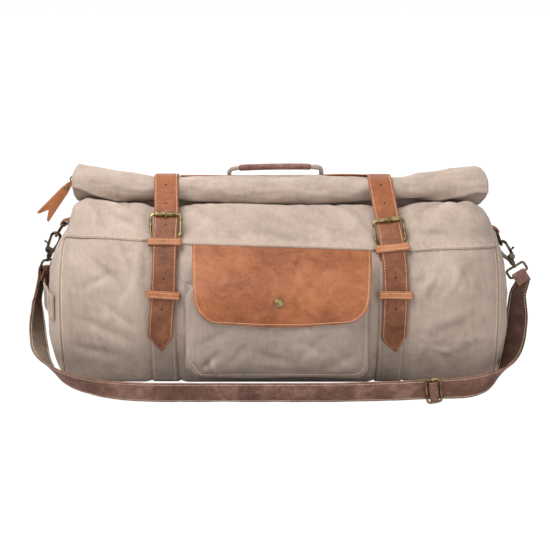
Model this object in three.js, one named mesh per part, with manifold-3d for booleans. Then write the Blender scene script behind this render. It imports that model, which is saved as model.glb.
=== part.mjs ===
// Roll-top travel bag in waxed canvas and leather, lying on its base with its shoulder strap in front.
// Millimetres, +Z up, +X along the bag to the right, the front pocket faces -Y.
// The origin is the middle of the flat base, on the floor.
import * as THREE from "three";
import { mergeVertices } from "three/addons/utils/BufferGeometryUtils.js";
import Module from "manifold-3d";

const wasm = await Module();
wasm.setup();

// Driving dimensions
const GAP = 0.35; // clearance between pieces that are sewn or rest on each other
const CANVAS = 1.8; // wall of the body
const LEATHER = 2.4; // straps, flap and tabs
const SEAM_X = 262; // half length of the wrap panel, up to the end seams
const SEAM_Z = 178; // height of the yoke seam at mid length
const SEAM_SLOPE = -0.02; // the yoke seam falls to the right
const SECTION_POWER = 2.4; // 2 is an ellipse, more is boxier
const SAG = 8; // how much of the round underside the floor flattens
const AROUND = 28; // facets round the body
const BAND_X = 138; // canvas bands and buckle straps, left and right of the middle
const BAND_WIDTH = 32;
const BAND_THICK = 1.5;
const BAND_BED = GAP + BAND_THICK; // the underside gives way to a band, so that both rest on the floor
const STRAP_WIDTH = 28; // buckle straps
const SHOULDER_WIDTH = 30; // shoulder strap
const MOUTH = { halfLength: 226, front: -9, back: 5, low: 190, high: 240 }; // slit in the top of the body

// Body sections: half depth, height of the top and of the underside at each place along the bag.
const BODY_STATIONS = [
  { x: -262, depth: 100, top: 182, floor: 6 },
  { x: -250, depth: 109, top: 203, floor: 2 },
  { x: -232, depth: 115, top: 213, floor: 0 },
  { x: -200, depth: 120, top: 215, floor: 0 },
  { x: -163, depth: 120, top: 214, floor: 0 },
  { x: -156, depth: 117, top: 212, floor: BAND_BED },
  { x: -120, depth: 117, top: 212, floor: BAND_BED },
  { x: -114, depth: 121, top: 212, floor: 0 },
  { x: 114, depth: 121, top: 212, floor: 0 },
  { x: 120, depth: 117, top: 212, floor: BAND_BED },
  { x: 156, depth: 117, top: 212, floor: BAND_BED },
  { x: 163, depth: 120, top: 214, floor: 0 },
  { x: 200, depth: 120, top: 215, floor: 0 },
  { x: 232, depth: 115, top: 213, floor: 0 },
  { x: 250, depth: 109, top: 203, floor: 2 },
  { x: 262, depth: 100, top: 182, floor: 6 },
];
// End panels bulge out past the end seam: how far, and how much smaller each ring is.
const DOME_RINGS = [
  { out: 7, scale: 0.92 },
  { out: 14, scale: 0.77 },
  { out: 20.5, scale: 0.53 },
  { out: 24, scale: 0.22 },
];
const END_CENTRE_Z = 93;

// The rolled mouth: centre and radii of its outer turn at each place along the bag.
const ROLL_STATIONS = [
  { x: -251, y: -18, z: 243, ry: 24, rz: 24.5, neck: 0 },
  { x: -225, y: -18, z: 242, ry: 24, rz: 23.5, neck: 0 },
  { x: -216, y: -18, z: 241.5, ry: 24, rz: 23, neck: 1 },
  { x: -195, y: -18, z: 239.5, ry: 23.5, rz: 21.5, neck: 1 },
  { x: -168, y: -18, z: 238, ry: 22.5, rz: 18, neck: 1 },
  { x: -154, y: -18, z: 237.5, ry: 22, rz: 16, neck: 1 },
  { x: -120, y: -18, z: 237.5, ry: 22, rz: 16, neck: 1 },
  { x: -104, y: -18, z: 236.5, ry: 22.5, rz: 18, neck: 1 },
  { x: -56, y: -18, z: 234.6, ry: 24.5, rz: 20.8, neck: 1 },
  { x: 50, y: -18, z: 234.6, ry: 24.5, rz: 20.8, neck: 1 },
  { x: 96, y: -18, z: 236, ry: 22.5, rz: 18, neck: 1 },
  { x: 110, y: -18, z: 237, ry: 22, rz: 16, neck: 1 },
  { x: 156, y: -18, z: 237, ry: 22, rz: 16, neck: 1 },
  { x: 172, y: -18, z: 238, ry: 22.5, rz: 18, neck: 1 },
  { x: 195, y: -18, z: 239.5, ry: 23.5, rz: 21, neck: 1 },
  { x: 216, y: -18, z: 241.5, ry: 24, rz: 23, neck: 1 },
  { x: 225, y: -18, z: 242.5, ry: 24, rz: 23.5, neck: 0 },
  { x: 257, y: -18, z: 244, ry: 24, rz: 25, neck: 0 },
];
const ROLL = { start: -60, turns: 1.6, steps: 18, cloth: 2.8, pitch: 3.8, leg: 1.1, fork: 213.5, legFoot: 203 };

const PALETTE = {
  canvas: { color: "#a2968a", roughness: 0.92, metalness: 0 },
  canvas_dark: { color: "#8a8076", roughness: 0.92, metalness: 0 },
  leather_tan: { color: "#b5703f", roughness: 0.6, metalness: 0 },
  leather_brown: { color: "#8a5435", roughness: 0.6, metalness: 0 },
  leather_dark: { color: "#6d4a3a", roughness: 0.62, metalness: 0 },
  brass: { color: "#8c7a4c", roughness: 0.38, metalness: 1 },
};
const materials = Object.fromEntries(
  Object.entries(PALETTE).map(([name, look]) => [name, new THREE.MeshStandardMaterial({ name, ...look })]),
);

const V = (x, y, z) => new THREE.Vector3(x, y, z);
const Y_AXIS = V(0, 1, 0);
const mix = (a, b, t) => a + (b - a) * t;

// Meshes and solids

function geometryOf(vertices, triangles) {
  const geometry = new THREE.BufferGeometry();
  const numbers = vertices.flatMap((p) => [p.x, p.y, p.z]);
  geometry.setAttribute("position", new THREE.Float32BufferAttribute(numbers, 3));
  geometry.setIndex(triangles);
  return geometry;
}

function capTriangles(ring) {
  const normal = V(0, 0, 0);
  ring.forEach((p, i) => normal.add(p.clone().cross(ring[(i + 1) % ring.length])));
  const across = ring[1].clone().sub(ring[0]).normalize();
  const up = normal.normalize().clone().cross(across);
  const flat = ring.map((p) => new THREE.Vector2(p.dot(across), p.dot(up)));
  return THREE.ShapeUtils.triangulateShape(flat, []);
}

// Joins rings of equal length into one closed surface: capped at both ends, or run round into a loop.
function loft(rings, loop = false) {
  const count = rings[0].length;
  const triangles = [];
  const bays = loop ? rings.length : rings.length - 1;
  for (let i = 0; i < bays; i += 1) {
    const near = i * count;
    const far = ((i + 1) % rings.length) * count;
    for (let j = 0; j < count; j += 1) {
      const k = (j + 1) % count;
      triangles.push(near + j, near + k, far + k, near + j, far + k, far + j);
    }
  }
  if (!loop) {
    const last = (rings.length - 1) * count;
    capTriangles(rings[0]).forEach(([a, b, c]) => triangles.push(a, c, b));
    capTriangles(rings.at(-1)).forEach(([a, b, c]) => triangles.push(last + a, last + b, last + c));
  }
  return facingOut(geometryOf(rings.flat(), triangles));
}

function facingOut(geometry) {
  const p = geometry.getAttribute("position");
  const index = Array.from(geometry.getIndex().array);
  const at = (i) => V().fromBufferAttribute(p, index[i]);
  let volume = 0;
  for (let i = 0; i < index.length; i += 3) volume += at(i).dot(at(i + 1).cross(at(i + 2)));
  if (volume < 0) {
    for (let i = 0; i < index.length; i += 3) {
      [index[i + 1], index[i + 2]] = [index[i + 2], index[i + 1]];
    }
  }
  geometry.setIndex(index);
  return geometry;
}

function solidOf(geometry) {
  const bare = new THREE.BufferGeometry().setAttribute("position", geometry.getAttribute("position"));
  if (geometry.getIndex()) bare.setIndex(geometry.getIndex());
  const merged = mergeVertices(bare, 1e-4);
  const mesh = new wasm.Mesh({
    numProp: 3,
    vertProperties: new Float32Array(merged.getAttribute("position").array),
    triVerts: new Uint32Array(merged.getIndex().array),
  });
  return new wasm.Manifold(mesh);
}

function geometryFrom(solid) {
  const { vertProperties, triVerts } = solid.getMesh();
  const geometry = new THREE.BufferGeometry();
  geometry.setAttribute("position", new THREE.BufferAttribute(new Float32Array(vertProperties), 3));
  geometry.setIndex(Array.from(triVerts));
  return geometry;
}

function block(low, high) {
  const size = high.clone().sub(low);
  const box = new THREE.BoxGeometry(size.x, size.y, size.z);
  return solidOf(box.translate(...low.clone().add(high).multiplyScalar(0.5).toArray()));
}

const bag = new THREE.Group();
function add(name, material, geometry) {
  const mesh = new THREE.Mesh(geometry, materials[material]);
  mesh.name = name;
  bag.add(mesh);
  return mesh;
}

// Bands and wires

// A flat band whose middle line runs through points, with the direction across it at each point.
function band(points, acrosses, width, thickness, widths = null) {
  const rings = points.map((p, i) => {
    const before = points[Math.max(i - 1, 0)];
    const after = points[Math.min(i + 1, points.length - 1)];
    const along = after.clone().sub(before).normalize();
    const a = acrosses[i].clone().addScaledVector(along, -acrosses[i].dot(along)).normalize();
    const n = along.clone().cross(a).multiplyScalar(thickness / 2);
    a.multiplyScalar((widths ? widths[i] : width) / 2);
    return [
      p.clone().sub(a).sub(n),
      p.clone().add(a).sub(n),
      p.clone().add(a).add(n),
      p.clone().sub(a).add(n),
    ];
  });
  return loft(rings);
}

// A place on a circle, its angle counted from direction a toward direction b.
const onCircle = (centre, a, b, radius, angle) =>
  centre.clone().addScaledVector(a, radius * Math.cos(angle)).addScaledVector(b, radius * Math.sin(angle));

// A round wire along a flat path whose plane has this normal: a closed ring, or a length with cut ends.
function wire(points, normal, radius, sides = 6, closed = true) {
  const last = points.length - 1;
  const rings = points.map((p, i) => {
    const before = closed ? points.at(i - 1) : points[Math.max(i - 1, 0)];
    const after = closed ? points[(i + 1) % points.length] : points[Math.min(i + 1, last)];
    const out = after.clone().sub(before).normalize().cross(normal).normalize();
    return Array.from({ length: sides }, (_, k) => {
      const angle = (2 * Math.PI * (k + 0.5)) / sides;
      return onCircle(p, out, normal, radius, angle);
    });
  });
  return loft(rings, closed);
}

// A straight round rod.
function rod(from, to, radius, sides = 8) {
  const axis = to.clone().sub(from);
  const turn = new THREE.Quaternion().setFromUnitVectors(Y_AXIS, axis.clone().normalize());
  const geometry = new THREE.CylinderGeometry(radius, radius, axis.length(), sides);
  geometry.applyQuaternion(turn);
  return geometry.translate(...from.clone().add(to).multiplyScalar(0.5).toArray());
}

// Corners of a rectangle with round corners, as pairs.
function roundedRectangle(width, height, radius, steps) {
  const points = [];
  [
    [1, 1, 0],
    [-1, 1, 90],
    [-1, -1, 180],
    [1, -1, 270],
  ].forEach(([sx, sy, from]) => {
    for (let i = 0; i <= steps; i += 1) {
      const angle = THREE.MathUtils.degToRad(from + (90 * i) / steps);
      points.push([
        sx * (width / 2 - radius) + radius * Math.cos(angle),
        sy * (height / 2 - radius) + radius * Math.sin(angle),
      ]);
    }
  });
  return points;
}

// The canvas body

function sectionAt(x, angle) {
  const rows = BODY_STATIONS;
  const last = rows.length - 1;
  const i = Math.min(Math.max(rows.findIndex((r) => r.x >= x) - 1, 0), last - 1);
  const t = THREE.MathUtils.clamp((x - rows[i].x) / (rows[i + 1].x - rows[i].x), 0, 1);
  const [depth, top, floor] = ["depth", "top", "floor"].map((k) => mix(rows[i][k], rows[i + 1][k], t));
  const half = (top - floor + SAG) / 2;
  const power = (value) => Math.sign(value) * Math.abs(value) ** (2 / SECTION_POWER);
  return {
    y: depth * power(Math.cos(angle)),
    z: Math.max(top - half + half * power(Math.sin(angle)), floor),
  };
}

const bodyAngle = (j) => (2 * Math.PI * (j + 0.5)) / AROUND;

function bodyRing(x) {
  return Array.from({ length: AROUND }, (_, j) => {
    const { y, z } = sectionAt(x, bodyAngle(j));
    return V(x, y, z);
  });
}

function domeRing(side, { out, scale }) {
  return bodyRing(side * SEAM_X).map((p) =>
    V(p.x + side * out, p.y * scale, END_CENTRE_Z + (p.z - END_CENTRE_Z) * scale),
  );
}

// The same rings, each point moved in by the wall.
function insideOf(rings, wall) {
  return rings.map((ring, i) =>
    ring.map((p, j) => {
      const before = rings[Math.max(i - 1, 0)][j];
      const after = rings[Math.min(i + 1, rings.length - 1)][j];
      const round = ring[(j + 1) % AROUND].clone().sub(ring.at(j - 1));
      const inward = after.clone().sub(before).cross(round).normalize();
      return p.clone().addScaledVector(inward, wall);
    }),
  );
}

const bodyRings = [
  ...[...DOME_RINGS].reverse().map((row) => domeRing(-1, row)),
  ...BODY_STATIONS.map(({ x }) => bodyRing(x)),
  ...DOME_RINGS.map((row) => domeRing(1, row)),
];
const hollow = insideOf(bodyRings, CANVAS);
const END_WALL = 1.6;
hollow[0].forEach((p) => (p.x = bodyRings[0][0].x + END_WALL));
hollow.at(-1).forEach((p) => (p.x = bodyRings.at(-1)[0].x - END_WALL));
const mouthSlit = block(
  V(-MOUTH.halfLength, MOUTH.front, MOUTH.low),
  V(MOUTH.halfLength, MOUTH.back, MOUTH.high),
);
const bodyShell = solidOf(loft(bodyRings)).subtract(solidOf(loft(hollow))).subtract(mouthSlit);

const FAR = 600;
const seamTilt = Math.atan(SEAM_SLOPE);
// Everything above the yoke seam, and everything below it, between the end seams.
const between = block(V(-SEAM_X + GAP / 2, -FAR, -FAR), V(SEAM_X - GAP / 2, FAR, FAR));
function besideSeam(side) {
  const box = new THREE.BoxGeometry(2 * FAR, 2 * FAR, FAR).translate(0, 0, (side * (FAR + GAP)) / 2);
  return solidOf(box.rotateY(-seamTilt).translate(0, 0, SEAM_Z));
}
const aboveSeam = besideSeam(1);
const belowSeam = besideSeam(-1);
add("lower_panel", "canvas", geometryFrom(bodyShell.intersect(between).intersect(belowSeam)));
add("yoke_panel", "canvas", geometryFrom(bodyShell.intersect(between).intersect(aboveSeam)));
const leftOfSeam = block(V(-FAR, -FAR, -FAR), V(-SEAM_X - GAP / 2, FAR, FAR));
const rightOfSeam = block(V(SEAM_X + GAP / 2, -FAR, -FAR), V(FAR, FAR, FAR));
add("end_panel_left", "canvas", geometryFrom(bodyShell.intersect(leftOfSeam)));
add("end_panel_right", "canvas", geometryFrom(bodyShell.intersect(rightOfSeam)));

// The rolled mouth: doubled canvas wound forward, its two plies parting at the foot into the slit.

function rollPoint({ x, y, z, ry, rz }, degrees, inset) {
  const angle = THREE.MathUtils.degToRad(degrees);
  return V(x, y + (ry - inset) * Math.cos(angle), z + (rz - inset) * Math.sin(angle));
}

function rollSection(row) {
  const sweep = 360 * ROLL.turns;
  const outer = [];
  const inner = [];
  for (let i = 0; i <= ROLL.steps; i += 1) {
    const turned = (sweep * i) / ROLL.steps;
    const inset = (ROLL.pitch * turned) / 360;
    outer.push(rollPoint(row, ROLL.start + turned, inset));
    inner.push(rollPoint(row, ROLL.start + turned, inset + ROLL.cloth));
  }
  const foot = row.neck ? ROLL.legFoot : outer[0].z - 1.2;
  const fork = row.neck ? ROLL.fork : outer[0].z - 0.6;
  const backLeg = row.neck ? MOUTH.back - GAP : outer[0].y + 0.4;
  const frontLeg = row.neck ? MOUTH.front + GAP : inner[0].y - 0.4;
  const leg = row.neck ? ROLL.leg : 0.5;
  const middle = (backLeg + frontLeg) / 2;
  const legs = [
    V(row.x, frontLeg, fork),
    V(row.x, frontLeg, foot),
    V(row.x, frontLeg + leg, foot),
    V(row.x, middle, fork),
    V(row.x, backLeg - leg, foot),
    V(row.x, backLeg, foot),
    V(row.x, backLeg, fork),
  ];
  return [...inner.reverse(), ...legs, ...outer];
}
add("roll_top", "canvas", loft(ROLL_STATIONS.map(rollSection)));

// Buckle straps. Each runs taut from the back of the body, over the roll and down the front to its tip.

const BAND = { thick: BAND_THICK, top: 174 };
const CHAPE = { thick: 1.6, width: 31, loop: 24, end: 163, cut: 0.5 };
const BUCKLE = { width: 40, length: 31, wire: 1.9, corner: 4.5 };
const KEEPER = { width: 41, height: 9, thick: 1.5, slack: 0.5 };
const PRONG = { wire: 1.2, eye: 3.1, eyeWidth: 4.4, play: 0.3, armRise: 1.8, pastBar: 2, tipRise: 0.5 };
// The slot that the prong comes up through: half its width, and its ends above and below the buckle's middle.
const PRONG_SLOT = { half: 1.8, above: 4, below: 12, deep: 5 };
// The pointed tip of a strap: how far before its end, and what share of the width is left there.
const TIP_ROWS = [
  { before: 16, share: 1 },
  { before: 7, share: 0.62 },
  { before: 0, share: 0.12 },
];
const STRAP_BACK_END = 150;
const onBand = GAP + BAND.thick;
// How far the middle of the strap stands off the body at each height, to make room for what lies under it.
const STAND_OFF = [
  { z: 60, off: onBand + GAP + LEATHER / 2 },
  { z: 110, off: onBand + 2 * GAP + KEEPER.slack + KEEPER.thick + LEATHER / 2 },
  { z: 150, off: onBand + 2 * GAP + KEEPER.slack + KEEPER.thick + LEATHER / 2 },
  { z: 172, off: onBand + 3 * GAP + CHAPE.thick + KEEPER.slack + KEEPER.thick + LEATHER / 2 },
  { z: 186, off: 11.2 },
  { z: 215, off: 11.2 },
];
const STRAPS = [
  {
    side: "left",
    band: -BAND_X,
    buckle: 204.5,
    upperKeeper: 186,
    lowerKeeper: 126,
    tip: 59,
    lean: [
      { z: 59, x: -138 },
      { z: 190, x: -137.5 },
      { z: 253, x: -136.6 },
    ],
    back: [
      { z: 150, x: -138 },
      { z: 253, x: -136.6 },
    ],
  },
  {
    side: "right",
    band: BAND_X,
    buckle: 198.5,
    upperKeeper: 179.5,
    lowerKeeper: 126,
    tip: 57,
    lean: [
      { z: 57, x: 143 },
      { z: 80, x: 140.5 },
      { z: 190, x: 136 },
      { z: 253, x: 128.5 },
    ],
    back: [
      { z: 150, x: 137 },
      { z: 253, x: 128.5 },
    ],
  },
];

// A column of a table read at a height, held level past its ends.
function readAt(rows, z, key) {
  if (z <= rows[0].z) return rows[0][key];
  const i = rows.findIndex((row) => row.z >= z);
  if (i < 0) return rows.at(-1)[key];
  const t = (z - rows[i - 1].z) / (rows[i].z - rows[i - 1].z);
  return mix(rows[i - 1][key], rows[i][key], t);
}

// The body section at x, each point moved out by a distance that may change with height.
function bodyOutline(x, offset) {
  const ring = bodyRing(x);
  return ring.map((p, j) => {
    const round = ring[(j + 1) % AROUND].clone().sub(ring.at(j - 1)).normalize();
    return p.clone().addScaledVector(V(0, round.z, -round.y), offset(p));
  });
}

// The tightest loop round points that share one X, counterclockwise seen from +X.
function tightLoop(points) {
  const sorted = [...points].sort((a, b) => a.y - b.y || a.z - b.z);
  const turn = (o, a, b) => (a.y - o.y) * (b.z - o.z) - (a.z - o.z) * (b.y - o.y);
  const chain = (list) => {
    const kept = [];
    list.forEach((p) => {
      while (kept.length > 1 && turn(kept.at(-2), kept.at(-1), p) <= 0) kept.pop();
      kept.push(p);
    });
    return kept.slice(0, -1);
  };
  return [...chain(sorted), ...chain(sorted.reverse())];
}

// The part of a loop that lies above a height at the back and above another at the front, going over the top.
function overTheTop(loop, backZ, frontZ) {
  const foot = loop.reduce((best, p, i) => (p.z < loop[best].z ? i : best), 0);
  const round = [...loop.slice(foot), ...loop.slice(0, foot + 1)];
  const floorAt = (p) => (p.y > 0 ? backZ : frontZ);
  const path = [];
  round.forEach((p, i) => {
    const previous = round[i - 1];
    if (previous && previous.z > floorAt(previous) !== p.z > floorAt(p)) {
      const t = (floorAt(p) - previous.z) / (p.z - previous.z);
      path.push(previous.clone().lerp(p, t));
    }
    if (p.z > floorAt(p)) path.push(p.clone());
  });
  return path;
}

// The place where a taut strap passes a height on the front of the bag.
function frontPlace(path, z) {
  const top = path.reduce((best, p, i) => (p.z > path[best].z ? i : best), 0);
  const i = path.findIndex((p, k) => k > top && p.z <= z);
  return path[i - 1].clone().lerp(path[i], (z - path[i - 1].z) / (path[i].z - path[i - 1].z));
}

// Place and directions of something that spans a stretch of the strap, centred on a height.
function frontFrame(path, z, span) {
  const near = (drop) => frontPlace(path, z - drop);
  const slope = near(1).sub(near(-1)).normalize();
  const [upper, lower] = [-1, 1].map((end) => near((-end * slope.z * span) / 2));
  const down = lower.clone().sub(upper).normalize();
  const across = V(1, 0, 0).addScaledVector(down, -down.x).normalize();
  return { at: upper.lerp(lower, 0.5), down, across, out: across.clone().cross(down).negate() };
}

// A place in such a frame: so far across, down the strap and out from it.
const inFrame = (frame, across, down, out) =>
  frame.at
    .clone()
    .addScaledVector(frame.across, across)
    .addScaledVector(frame.down, down)
    .addScaledVector(frame.out, out);

// A block whose sides follow such a frame.
function frameBlock(frame, low, high) {
  const corner = (a, d, o) => inFrame(frame, a, d, o);
  const ring = (d) => [
    corner(low.x, d, low.z),
    corner(high.x, d, low.z),
    corner(high.x, d, high.z),
    corner(low.x, d, high.z),
  ];
  return solidOf(loft([ring(low.y), ring(high.y)]));
}

// A leather loop round the strap.
function keeper(frame) {
  const room = LEATHER + 2 * GAP + 2 * KEEPER.slack;
  const outer = roundedRectangle(KEEPER.width, room + 2 * KEEPER.thick, 2, 2);
  const inner = roundedRectangle(KEEPER.width - 2 * KEEPER.thick, room, 0.5, 1);
  const prism = (outline, reach) =>
    solidOf(loft([-reach, reach].map((d) => outline.map(([a, o]) => inFrame(frame, a, d, o)))));
  return geometryFrom(prism(outer, KEEPER.height / 2).subtract(prism(inner, KEEPER.height)));
}

// The roll's centre and radii at any place along it.
function rollRow(x) {
  const rows = ROLL_STATIONS;
  const i = rows.findIndex((row) => row.x >= x);
  const t = (x - rows[i - 1].x) / (rows[i].x - rows[i - 1].x);
  const [y, z, ry, rz] = ["y", "z", "ry", "rz"].map((k) => mix(rows[i - 1][k], rows[i][k], t));
  return { x, y, z, ry, rz };
}
const rollOutline = (x, offset) =>
  Array.from({ length: 18 }, (_, k) => rollPoint(rollRow(x), 20 * k, -offset));

STRAPS.forEach((row) => {
  const { side } = row;
  // The canvas band goes under the bag, from the front yoke seam to the back one.
  const wrap = bodyOutline(row.band, () => GAP + BAND.thick / 2);
  const upsideDown = (p) => V(p.x, -p.y, -p.z);
  const under = overTheTop(wrap.map(upsideDown), -BAND.top, -BAND.top).map(upsideDown);
  add(`band_${side}`, "canvas_dark", band(under, under.map(() => V(1, 0, 0)), BAND_WIDTH, BAND.thick));

  // The strap itself, leaning along its way, with a slot for the prong.
  const pulled = tightLoop([
    ...bodyOutline(row.band, (p) => (p.y > 0 ? onBand + GAP + LEATHER / 2 : readAt(STAND_OFF, p.z, "off"))),
    ...rollOutline(row.lean.at(-1).x, GAP + LEATHER / 2),
  ]);
  const path = overTheTop(pulled, STRAP_BACK_END, row.tip);
  const top = path.reduce((best, p, i) => (p.z > path[best].z ? i : best), 0);
  path.forEach((p, i) => (p.x = readAt(i < top ? row.back : row.lean, p.z, "x")));
  const tipRun = path.at(-1).clone().sub(path.at(-2)).normalize();
  const tail = TIP_ROWS.map(({ before }) => path.at(-1).clone().addScaledVector(tipRun, -before));
  const body = path.slice(0, -1).filter((p, i) => i < top || p.z > tail[0].z + 2);
  const line = [...body, ...tail];
  const widths = [...body.map(() => STRAP_WIDTH), ...TIP_ROWS.map(({ share }) => share * STRAP_WIDTH)];
  const buckle = frontFrame(path, row.buckle, BUCKLE.length);
  const slot = frameBlock(
    buckle,
    V(-PRONG_SLOT.half, -PRONG_SLOT.above, -PRONG_SLOT.deep),
    V(PRONG_SLOT.half, PRONG_SLOT.below, PRONG_SLOT.deep),
  );
  const leather = band(line, line.map(() => V(1, 0, 0)), STRAP_WIDTH, LEATHER, widths);
  add(`buckle_strap_${side}`, "leather_brown", geometryFrom(solidOf(leather).subtract(slot)));

  // The buckle frame leans through the strap: its upper bar in front, its heel bar behind.
  const barFront = LEATHER / 2 + GAP + BUCKLE.wire;
  const barBack = LEATHER / 2 + 2 * GAP + CHAPE.thick + BUCKLE.wire;
  const reach = (BUCKLE.length - 2 * BUCKLE.wire) / 2;
  const rise = (barFront + barBack) / 2;
  const level = (barFront - barBack) / 2;
  const slant = Math.sqrt(1 - (rise / reach) ** 2);
  const flat = roundedRectangle(BUCKLE.width - 2 * BUCKLE.wire, 2 * reach, BUCKLE.corner, 3);
  const outline = flat.map(([a, d]) => inFrame(buckle, a, d * slant, level - (d / reach) * rise));
  const plane = outline[1].clone().sub(outline[0]).cross(outline[2].clone().sub(outline[0])).normalize();
  add(`buckle_frame_${side}`, "brass", wire(outline, plane, BUCKLE.wire));

  // The prong turns on the heel bar, comes up through the slot and rests on the upper bar.
  const heel = reach * slant;
  const onHeel = (across) => inFrame(buckle, across, heel, -barBack);
  const eye = (radius, width) => solidOf(rod(onHeel(-width / 2), onHeel(width / 2), radius, 12));
  const resting = barFront + BUCKLE.wire + GAP + PRONG.wire;
  const armFoot = inFrame(buckle, 0, heel, -barBack + PRONG.armRise);
  const armTip = inFrame(buckle, 0, -heel - PRONG.pastBar, resting + PRONG.tipRise);
  const arm = solidOf(rod(armFoot, armTip, PRONG.wire, 6));
  const bore = eye(BUCKLE.wire + PRONG.play, 2 * PRONG.eyeWidth);
  add(`buckle_prong_${side}`, "brass", geometryFrom(eye(PRONG.eye, PRONG.eyeWidth).add(arm).subtract(bore)));

  // The chape holds the heel bar: sewn over the band, up, over the bar and in behind it.
  const turn = BUCKLE.wire + GAP + CHAPE.thick / 2;
  const curl = [-45, 0, 60, 120, 180].map((degrees) => {
    const angle = THREE.MathUtils.degToRad(degrees);
    return inFrame(buckle, 0, heel - turn * Math.sin(angle), -barBack + turn * Math.cos(angle));
  });
  const front = bodyOutline(row.band, () => onBand + GAP + CHAPE.thick / 2).filter((p) => p.y < 0);
  const sewn = [frontPlace(front, CHAPE.end), ...front.filter((p) => p.z > CHAPE.end + 2).reverse()];
  const low = frontFrame(path, row.upperKeeper, KEEPER.height);
  const room = -LEATHER / 2 - 2 * GAP - KEEPER.slack - KEEPER.thick - CHAPE.thick / 2;
  const edge = KEEPER.height / 2;
  const kneeled = [edge + 1, -edge - 0.3].map((place) => inFrame(low, 0, place, room));
  const chapeLine = [...sewn.filter((p) => p.z < kneeled[0].z - 2), ...kneeled, ...curl];
  const looped = chapeLine.length - curl.length - 1;
  chapeLine.slice(0, looped + 1).forEach((p) => (p.x = curl[0].x));
  const beside = PRONG.eyeWidth / 2 + CHAPE.cut;
  const tongue = frameBlock(buckle, V(-beside, heel - 6, -barBack - 6), V(beside, heel + 5, 0));
  const chape = band(
    chapeLine,
    chapeLine.map((p, i) => (i < looped ? V(1, 0, 0) : buckle.across)),
    CHAPE.width,
    CHAPE.thick,
    chapeLine.map((p, i) => (i < looped ? CHAPE.width : CHAPE.loop)),
  );
  add(`chape_${side}`, "leather_brown", geometryFrom(solidOf(chape).subtract(tongue)));

  add(`keeper_upper_${side}`, "leather_tan", keeper(low));
  add(`keeper_lower_${side}`, "leather_tan", keeper(frontFrame(path, row.lowerKeeper, KEEPER.height)));
});

// Front pocket: folded side gussets, a front that bulges, open at the top under its flap.

const POCKET = { wall: 1.5, top: 140, corner: 12 };
const POCKET_RINGS = [
  { y: -70, half: 111, low: 25, high: 170 },
  { y: -122, half: 111, low: 25, high: 151.5 },
  { y: -128, half: 105.5, low: 27, high: 145.5 },
  { y: -134, half: 108, low: 28, high: 137 },
  { y: -140.5, half: 104, low: 34, high: 125 },
  { y: -145, half: 97, low: 45, high: 110 },
  { y: -147, half: 84, low: 60, high: 96 },
];
function pocketRing({ y, half, low, high }, inset, back) {
  const corner = Math.max(POCKET.corner - inset, 4);
  const outline = roundedRectangle(2 * (half - inset), high - low - 2 * inset, corner, 2);
  return outline.map(([x, z]) => V(x, y + back, (low + high) / 2 + z));
}
const pocketOuter = solidOf(loft(POCKET_RINGS.map((row) => pocketRing(row, 0, 0))));
const pocketInside = POCKET_RINGS.map((row, i) => pocketRing(row, POCKET.wall, i ? POCKET.wall : -5));
const pocketInner = solidOf(loft(pocketInside));
const besideBody = solidOf(loft(insideOf(bodyRings, -GAP)));
const pocketMouth = block(V(-FAR, -FAR, POCKET.top), V(FAR, FAR, FAR));
const pocketSolid = pocketOuter.subtract(pocketInner).subtract(besideBody).subtract(pocketMouth);
add("pocket", "canvas", geometryFrom(pocketSolid));

// The flap is sewn in below the yoke seam and hangs over the pocket; its lower corners are round.
const FLAP = { x: 5.5, half: 108, corner: 30 };
const FLAP_ROWS = [
  { y: -101, z: 176.2 },
  { y: -107.6, z: 167 },
  { y: -118, z: 158 },
  { y: -129, z: 148.5 },
  { y: -138, z: 137 },
  { y: -144.5, z: 124 },
  { y: -148.5, z: 110 },
  { y: -149.6, z: 102.5 },
  { y: -150, z: 97.8 },
  { y: -150.2, z: 94.8 },
  { y: -150.2, z: 94 },
];
const flapLow = FLAP_ROWS.at(-1).z;
const flapWidths = FLAP_ROWS.map(({ z }) => {
  const under = Math.max(FLAP.corner - (z - flapLow), 0);
  return 2 * (FLAP.half - FLAP.corner + Math.sqrt(FLAP.corner ** 2 - under ** 2));
});
const flapLine = FLAP_ROWS.map(({ y, z }) => V(FLAP.x, y, z));
add("pocket_flap", "leather_tan", band(flapLine, flapLine.map(() => V(1, 0, 0)), 0, LEATHER, flapWidths));

// A solid turned about an axis, from rows of height and radius.
function turned(rows, at, axis, sides = 12) {
  const aside = Math.abs(axis.x) > 0.9 ? V(0, 1, 0) : V(1, 0, 0);
  const u = axis.clone().cross(aside).normalize();
  const v = axis.clone().cross(u);
  const rings = rows.map(([height, radius]) =>
    Array.from({ length: sides }, (_, k) => {
      const angle = (2 * Math.PI * k) / sides;
      return onCircle(at, u, v, radius, angle).addScaledVector(axis, height);
    }),
  );
  return loft(rings);
}

const SNAP = { x: 2.3, z: 121, radius: 5.8, height: 2 };
const snapRun = flapLine[6].clone().sub(flapLine[5]).normalize();
const snapOut = V(0, snapRun.z, -snapRun.y);
const snapShare = (SNAP.z - flapLine[5].z) / (flapLine[6].z - flapLine[5].z);
const snapFoot = flapLine[5].clone().lerp(flapLine[6], snapShare);
snapFoot.x = SNAP.x;
snapFoot.addScaledVector(snapOut, LEATHER / 2 + GAP);
const SNAP_PROFILE = [
  [0, SNAP.radius],
  [0.7 * SNAP.height, SNAP.radius],
  [SNAP.height, 0.72 * SNAP.radius],
];
add("pocket_snap", "brass", turned(SNAP_PROFILE, snapFoot, snapOut));

// Top handle: a canvas cord with a leather grip, standing on a leather strip along the roll.

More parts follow.
